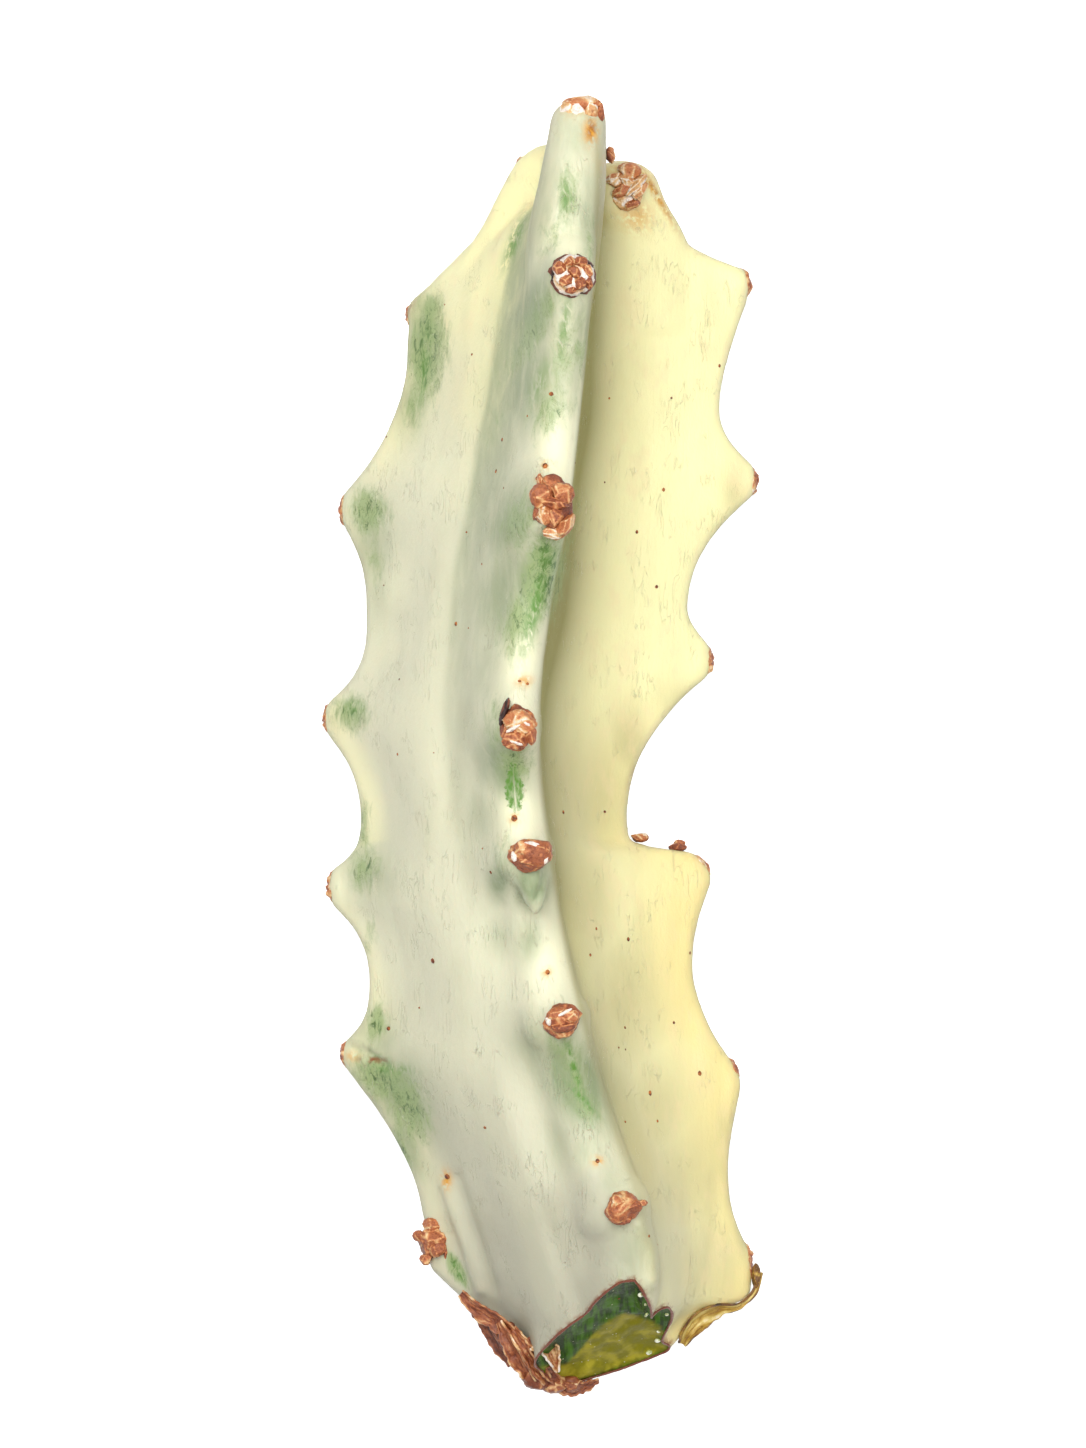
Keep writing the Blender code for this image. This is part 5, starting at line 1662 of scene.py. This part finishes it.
class Repeats(Tree):
    """A geometry node group with named inputs that ends in real faces with a material."""

    def __init__(self, name: str, numbers: dict[str, float]) -> None:
        """Makes the group with its geometry and number inputs.

        Args:
            name: The group's name.
            numbers: Its named sizes and what they are.
        """
        self.group = bpy.data.node_groups.new(name, "GeometryNodeTree")
        super().__init__(self.group)
        face = self.group.interface
        face.new_socket("Geometry", in_out="INPUT", socket_type="NodeSocketGeometry")
        self.sockets = {}
        for label, value in numbers.items():
            socket = face.new_socket(label, in_out="INPUT", socket_type="NodeSocketFloat")
            self.sockets[label] = (socket.identifier, value)
        face.new_socket("Geometry", in_out="OUTPUT", socket_type="NodeSocketGeometry")
        self.given = self.node("NodeGroupInput").outputs

    def close(self, shape: Signal, material: bpy.types.Material) -> None:
        """Ends the group in real, smooth faces of one material."""
        real = self.out("GeometryNodeRealizeInstances", None, {0: shape})
        smooth = self.out("GeometryNodeSetShadeSmooth", None, {"Geometry": real})
        dressed = self.out("GeometryNodeSetMaterial", None,
                           {"Geometry": smooth, "Material": material})
        self.node("NodeGroupOutput", None, {0: dressed})

    def apply(self, obj: bpy.types.Object) -> bpy.types.Object:
        """Runs the group on an object and keeps what it makes as a plain mesh."""
        modifier = obj.modifiers.new(self.group.name, "NODES")
        modifier.node_group = self.group
        for identifier, value in self.sockets.values():
            modifier[identifier] = value
        settled(obj)
        return obj


@dataclass(frozen=True)
class Mounds:
    """Small mounds on given points of a surface, such as scabs on skin or beads of sap."""

    name: str
    flatness: float
    wander: float
    seed: int = 3

    def build(self, places: Sequence[tuple[Vector, Vector, float]],
              material: bpy.types.Material) -> bpy.types.Object:
        """Builds the mounds.

        Args:
            places: For each mound its place in millimetres, the way it faces and its radius.
            material: What it is made of.

        Returns:
            All the mounds as one piece.
        """
        mesh = bpy.data.meshes.new(self.name)
        points = [(place + TO_FRAME) * MM for place, _, _ in places]
        mesh.from_pydata(points, [], [])
        carry(mesh, "size", np.array([size * MM for _, _, size in places]))
        layer = mesh.attributes.new("way", "FLOAT_VECTOR", "POINT")
        ways = np.array([tuple(way) for _, way, _ in places], np.float32)
        layer.data.foreach_set("vector", ways.reshape(-1))
        obj = add_object(self.name, mesh)
        tree = Repeats(self.name + "_layout", {"Flatness": self.flatness, "Wander": self.wander})
        size = tree.out("GeometryNodeInputNamedAttribute", {"data_type": "FLOAT"},
                        {"Name": "size"})
        way = tree.out("GeometryNodeInputNamedAttribute", {"data_type": "FLOAT_VECTOR"},
                       {"Name": "way"})
        turn = tree.out("FunctionNodeAlignRotationToVector", {"axis": "Z"}, {"Vector": way})
        shake = tree.out("FunctionNodeRandomValue", {"data_type": "FLOAT"},
                         {"Min": 0.75, "Max": 1.25, "Seed": self.seed}, 1)
        scale = tree.out("ShaderNodeCombineXYZ", None, {
            0: size, 1: size * shake, 2: size * Signal(tree, tree.given["Flatness"])})
        grain = tree.out("GeometryNodeMeshIcoSphere", None, {"Radius": 1.0, "Subdivisions": 2})
        bumps = tree.node("ShaderNodeTexNoise", {"noise_dimensions": "3D"}, {"Scale": 1.3})
        centred = tree.out("ShaderNodeVectorMath", {"operation": "SUBTRACT"},
                           {0: bumps.outputs["Color"], 1: (0.5, 0.5, 0.5)})
        push = tree.out("ShaderNodeVectorMath", {"operation": "SCALE"},
                        {0: centred, "Scale": tree.given["Wander"]})
        lump = tree.out("GeometryNodeSetPosition", None, {"Geometry": grain, "Offset": push})
        spread = tree.out("GeometryNodeInstanceOnPoints", None, {
            "Points": tree.given["Geometry"], "Instance": lump, "Rotation": turn, "Scale": scale})
        tree.close(spread, material)
        return tree.apply(obj)


@dataclass(frozen=True)
class SapBeads:
    """Where drops of dried sap sit, just inside the right half of the cut's rim."""

    every: int = 7  # how many of the rim's points there are to one drop
    right_of: float = 10.6
    inward: tuple = (0.5, 1.1)
    sunk: float = 0.3
    radius: tuple = (0.16, 0.42)
    seed: int = 12

    def places(self, rim: Sequence[Vector], facing: Vector) -> list[tuple[Vector, Vector, float]]:
        """Finds the drops' places.

        Args:
            rim: The points of the cut's rim in millimetres.
            facing: The way that the cut faces.

        Returns:
            Places in millimetres, directions and radii.
        """
        found = []
        rng = np.random.default_rng(self.seed)
        middle = sum(rim, Vector()) / len(rim)
        for point in rim[::self.every]:
            if point.x > self.right_of:
                inward = (middle - point).normalized() * rng.uniform(*self.inward)
                spot = point + inward - facing * self.sunk
                found.append((spot, facing, float(rng.uniform(*self.radius))))
        return found


@dataclass(frozen=True)
class Lip:
    """The thin dried edge of skin that follows the rim of the cut."""

    radius: float = 0.15
    ragged: float = 0.6

    def build(self, line: Sequence[Vector], material: bpy.types.Material) -> bpy.types.Object:
        """Builds the lip along a line.

        Args:
            line: Points of the rim in millimetres, closed.
            material: What it is made of.

        Returns:
            The lip as one piece.
        """
        mesh = bpy.data.meshes.new("cut_lip")
        count = len(line)
        places = [(point + TO_FRAME) * MM for point in line]
        mesh.from_pydata(places, [(i, (i + 1) % count) for i in range(count)], [])
        obj = add_object("cut_lip", mesh)
        tree = Repeats("cut_lip_layout", {"Radius": self.radius * MM, "Ragged": self.ragged})
        curve = tree.out("GeometryNodeMeshToCurve", None, {0: tree.given["Geometry"]})
        smooth = tree.out("GeometryNodeResampleCurve", None, {"Curve": curve, "Count": count})
        uneven = tree.out("ShaderNodeTexNoise", {"noise_dimensions": "3D"},
                          {"Scale": 700.0, "Detail": 3.0})
        wave = (uneven - 0.5) * Signal(tree, tree.given["Ragged"]) * 3.0 + 1.0
        radius = wave * Signal(tree, tree.given["Radius"])
        profile = tree.out("GeometryNodeCurvePrimitiveCircle", None,
                           {"Resolution": 8, "Radius": 1.0})
        tube = tree.out("GeometryNodeCurveToMesh", None,
                        {"Curve": smooth, "Profile Curve": profile, "Scale": radius})
        tree.close(tube, material)
        tree.apply(obj)
        carry(obj.data, "tone", np.full(len(obj.data.vertices), 0.3))
        return obj


@dataclass
class SkinDetails:
    """Marks that a knock or an insect left: pores under each flower, scabs and stray specks."""

    marks: tuple = (
        (0.0, 31.8, 0.3), (-0.9, 30.4, 0.24), (-3.5, -8.2, 0.36), (0.3, -25.8, 0.26),
        (6.0, -47.4, 0.24), (-2.9, 7.4, 0.2), (-2.0, 7.1, 0.2), (12.1, -40.0, 0.26),
        (17.9, -37.9, 0.26), (9.6, -22.3, 0.24), (2.1, -7.6, 0.22), (6.9, -7.6, 0.2),
        (0.7, 40.0, 0.28), (-4.9, 35.0, 0.22), (-18.1, -32.7, 0.3), (-10.2, 14.0, 0.24),
        (-14.5, -30.2, 0.16), (12.9, 18.4, 0.22), (13.7, 29.6, 0.2), (10.6, 24.7, 0.2),
        (-6.2, -14.4, 0.2), (-8.4, 45.0, 0.16), (5.2, -24.0, 0.2), (5.9, -21.0, 0.16),
        (-5.6, 31.4, 0.2), (-9.0, 24.5, 0.16), (20.2, 44.0, 0.18), (14.6, 40.2, 0.16),
        (-6.9, -43.8, 0.22), (-12.9, -24.7, 0.34), (-11.3, -49.8, 0.4), (11.9, -56.0, 0.2),
        (8.5, -63.4, 0.16), (14.9, -32.0, 0.18), (16.8, -24.0, 0.16), (9.2, -32.4, 0.16),
    )
    strays: int = 46
    stray_along: tuple = (-58, 60)
    stray_size: tuple = (0.09, 0.17)
    axis_height: float = 14
    clear: float = 90  # how far off a search for the skin starts
    seed: int = 9

    def places(self, skin: BVHTree) -> list[tuple[Vector, Vector, float]]:
        """Finds the marks' places on the skin from above and scatters a few more all round.

        Args:
            skin: The stem's surface, in metres in the part's frame.

        Returns:
            Places in millimetres, directions and radii.
        """
        found = []
        for x, y, size in self.marks:
            found.append(self._seat(skin, Vector((x, y, self.clear)), Vector((0, 0, -1)), size))
        rng = np.random.default_rng(self.seed)
        for _ in range(self.strays):
            angle = rng.uniform(0, 2 * math.pi)
            along = rng.uniform(*self.stray_along)
            start = Vector((self.clear * math.cos(angle), along,
                            self.axis_height + self.clear * math.sin(angle)))
            way = Vector((-math.cos(angle), 0, -math.sin(angle)))
            found.append(self._seat(skin, start, way, float(rng.uniform(*self.stray_size))))
        return [place for place in found if place]

    @staticmethod
    def _seat(skin: BVHTree, start: Vector, way: Vector,
              size: float) -> tuple[Vector, Vector, float] | None:
        """Finds the skin along a straight line."""
        hit, normal, _, _ = skin.ray_cast((start + TO_FRAME) * MM, way)
        if hit is None:
            return None
        return hit / MM - TO_FRAME, normal, size


# ------------------------------------------------------------------ studio


@dataclass(frozen=True)
class Studio:
    """A plain pale floor, soft light from the upper left and a camera straight above."""

    look_at: Triple = (0.22, 2.63, 13.0)
    view_height: float = 166.8
    lens: float = 300.0
    gap: float = 0.0001  # metres between the part's lowest point and the floor

    def build(self) -> None:
        """Puts up the floor, the lights and the camera."""
        self._floor()
        self._light("key_light", (-0.2, 0.34, 0.85), 0.7, 7.2)
        self._light("fill_light", (0.42, 0.0, 0.85), 0.8, 5.2)
        self._light("low_light", (-0.45, -0.4, 0.6), 0.8, 1.6)
        world = bpy.data.worlds.new("studio_air")
        world.use_nodes = True
        back = world.node_tree.nodes["Background"]
        back.inputs["Color"].default_value = (1.0, 1.0, 1.0, 1.0)
        back.inputs["Strength"].default_value = 0.22
        bpy.context.scene.world = world
        bpy.context.scene.view_settings.view_transform = "Standard"
        self._camera()

    def _floor(self) -> None:
        """Lays the floor just under the part."""
        shape = bmesh.new()
        bmesh.ops.create_grid(shape, x_segments=2, y_segments=2, size=1500.0)
        mesh = mesh_from("floor", shape, keep_normals=True)
        floor = add_object("floor", mesh, FloorFinish().material())
        low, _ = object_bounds()
        mesh.transform(Matrix.Translation((0, 0, low[2] - self.gap)))
        floor.visible_diffuse = False
        floor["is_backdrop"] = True

    @staticmethod
    def _light(name: str, place: Triple, size: float, power: float) -> None:
        """Hangs a large soft light that looks at the part."""
        lamp = bpy.data.lights.new(name, "AREA")
        lamp.size = size
        lamp.energy = power
        obj = bpy.data.objects.new(name, lamp)
        obj.location = place
        obj.rotation_euler = (-Vector(place)).to_track_quat("-Z", "Y").to_euler()
        bpy.context.scene.collection.objects.link(obj)

    def _camera(self) -> None:
        """Sets the camera straight above, far off, with a long lens."""
        data = bpy.data.cameras.new("camera")
        data.lens = self.lens
        data.sensor_fit = "VERTICAL"
        data.sensor_height = 36.0
        away = self.lens / data.sensor_height * self.view_height
        data.clip_end = 20.0
        obj = bpy.data.objects.new("camera", data)
        obj.location = (Vector(self.look_at) + Vector((0, 0, away))) * MM
        bpy.context.scene.collection.objects.link(obj)
        bpy.context.scene.camera = obj


# ------------------------------------------------------------------ assembly


def ride_as(obj: bpy.types.Object, slot: str, *nodes: str) -> None:
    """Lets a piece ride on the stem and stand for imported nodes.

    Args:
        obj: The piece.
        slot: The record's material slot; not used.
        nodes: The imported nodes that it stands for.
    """
    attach(obj, "root")
    if nodes:
        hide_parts(*nodes)
    log.info("%s: %d faces", obj.name, len(obj.data.polygons))


def main() -> None:
    """Builds the dressed cutting piece by piece and puts it in the studio."""
    logging.basicConfig(level=logging.INFO, format="%(name)s %(message)s")
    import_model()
    Studio().build()

    stem = Stem()
    body = stem.build(SkinFinish().material(), CutFinish().material())
    ride_as(body, "stem_skin", "stem")

    graph = bpy.context.evaluated_depsgraph_get()
    skin = BVHTree.FromObject(body, graph)
    specks = Mounds("skin_specks", 0.45, 0.5)
    ride_as(specks.build(SkinDetails().places(skin), SpeckFinish().material()), "dried_bud")

    dried = DriedFinish("dried_flower_finish").material()
    for cluster in CLUSTERS:
        ride_as(cluster.build(dried), "dried_bud", cluster.node)
    for crust in CRUSTS:
        ride_as(crust.build(body.data, dried), "dried_bud", crust.node)

    callus = DriedFinish("dried_callus_finish", deep=srgb(36, 12, 4), brown=srgb(116, 54, 26),
                         copper=srgb(164, 92, 50), tan=srgb(222, 178, 122), roughness=0.34,
                         depth=0.12, mottle=0.3).material()
    ride_as(CALLUS.build(callus), "dried_callus", CALLUS.node)
    gilt = DriedFinish("dry_rim_finish", deep=srgb(52, 34, 8), brown=srgb(124, 80, 22),
                       copper=srgb(186, 150, 60), tan=srgb(222, 200, 122), roughness=0.36,
                       depth=0.1, mottle=0.3).material()
    ride_as(DRY_RIM.build(gilt), "dried_callus", DRY_RIM.node)
    ride_as(Lip().build(stem.rim_line, callus), "dried_callus")
    beads = SapBeads().places(stem.rim_line, Vector(stem.cut_facing).normalized())
    ride_as(Mounds("sap_beads", 0.7, 0.3, 8).build(beads, BeadFinish().material()), "stem_skin")


if __name__ == "__main__":
    main()
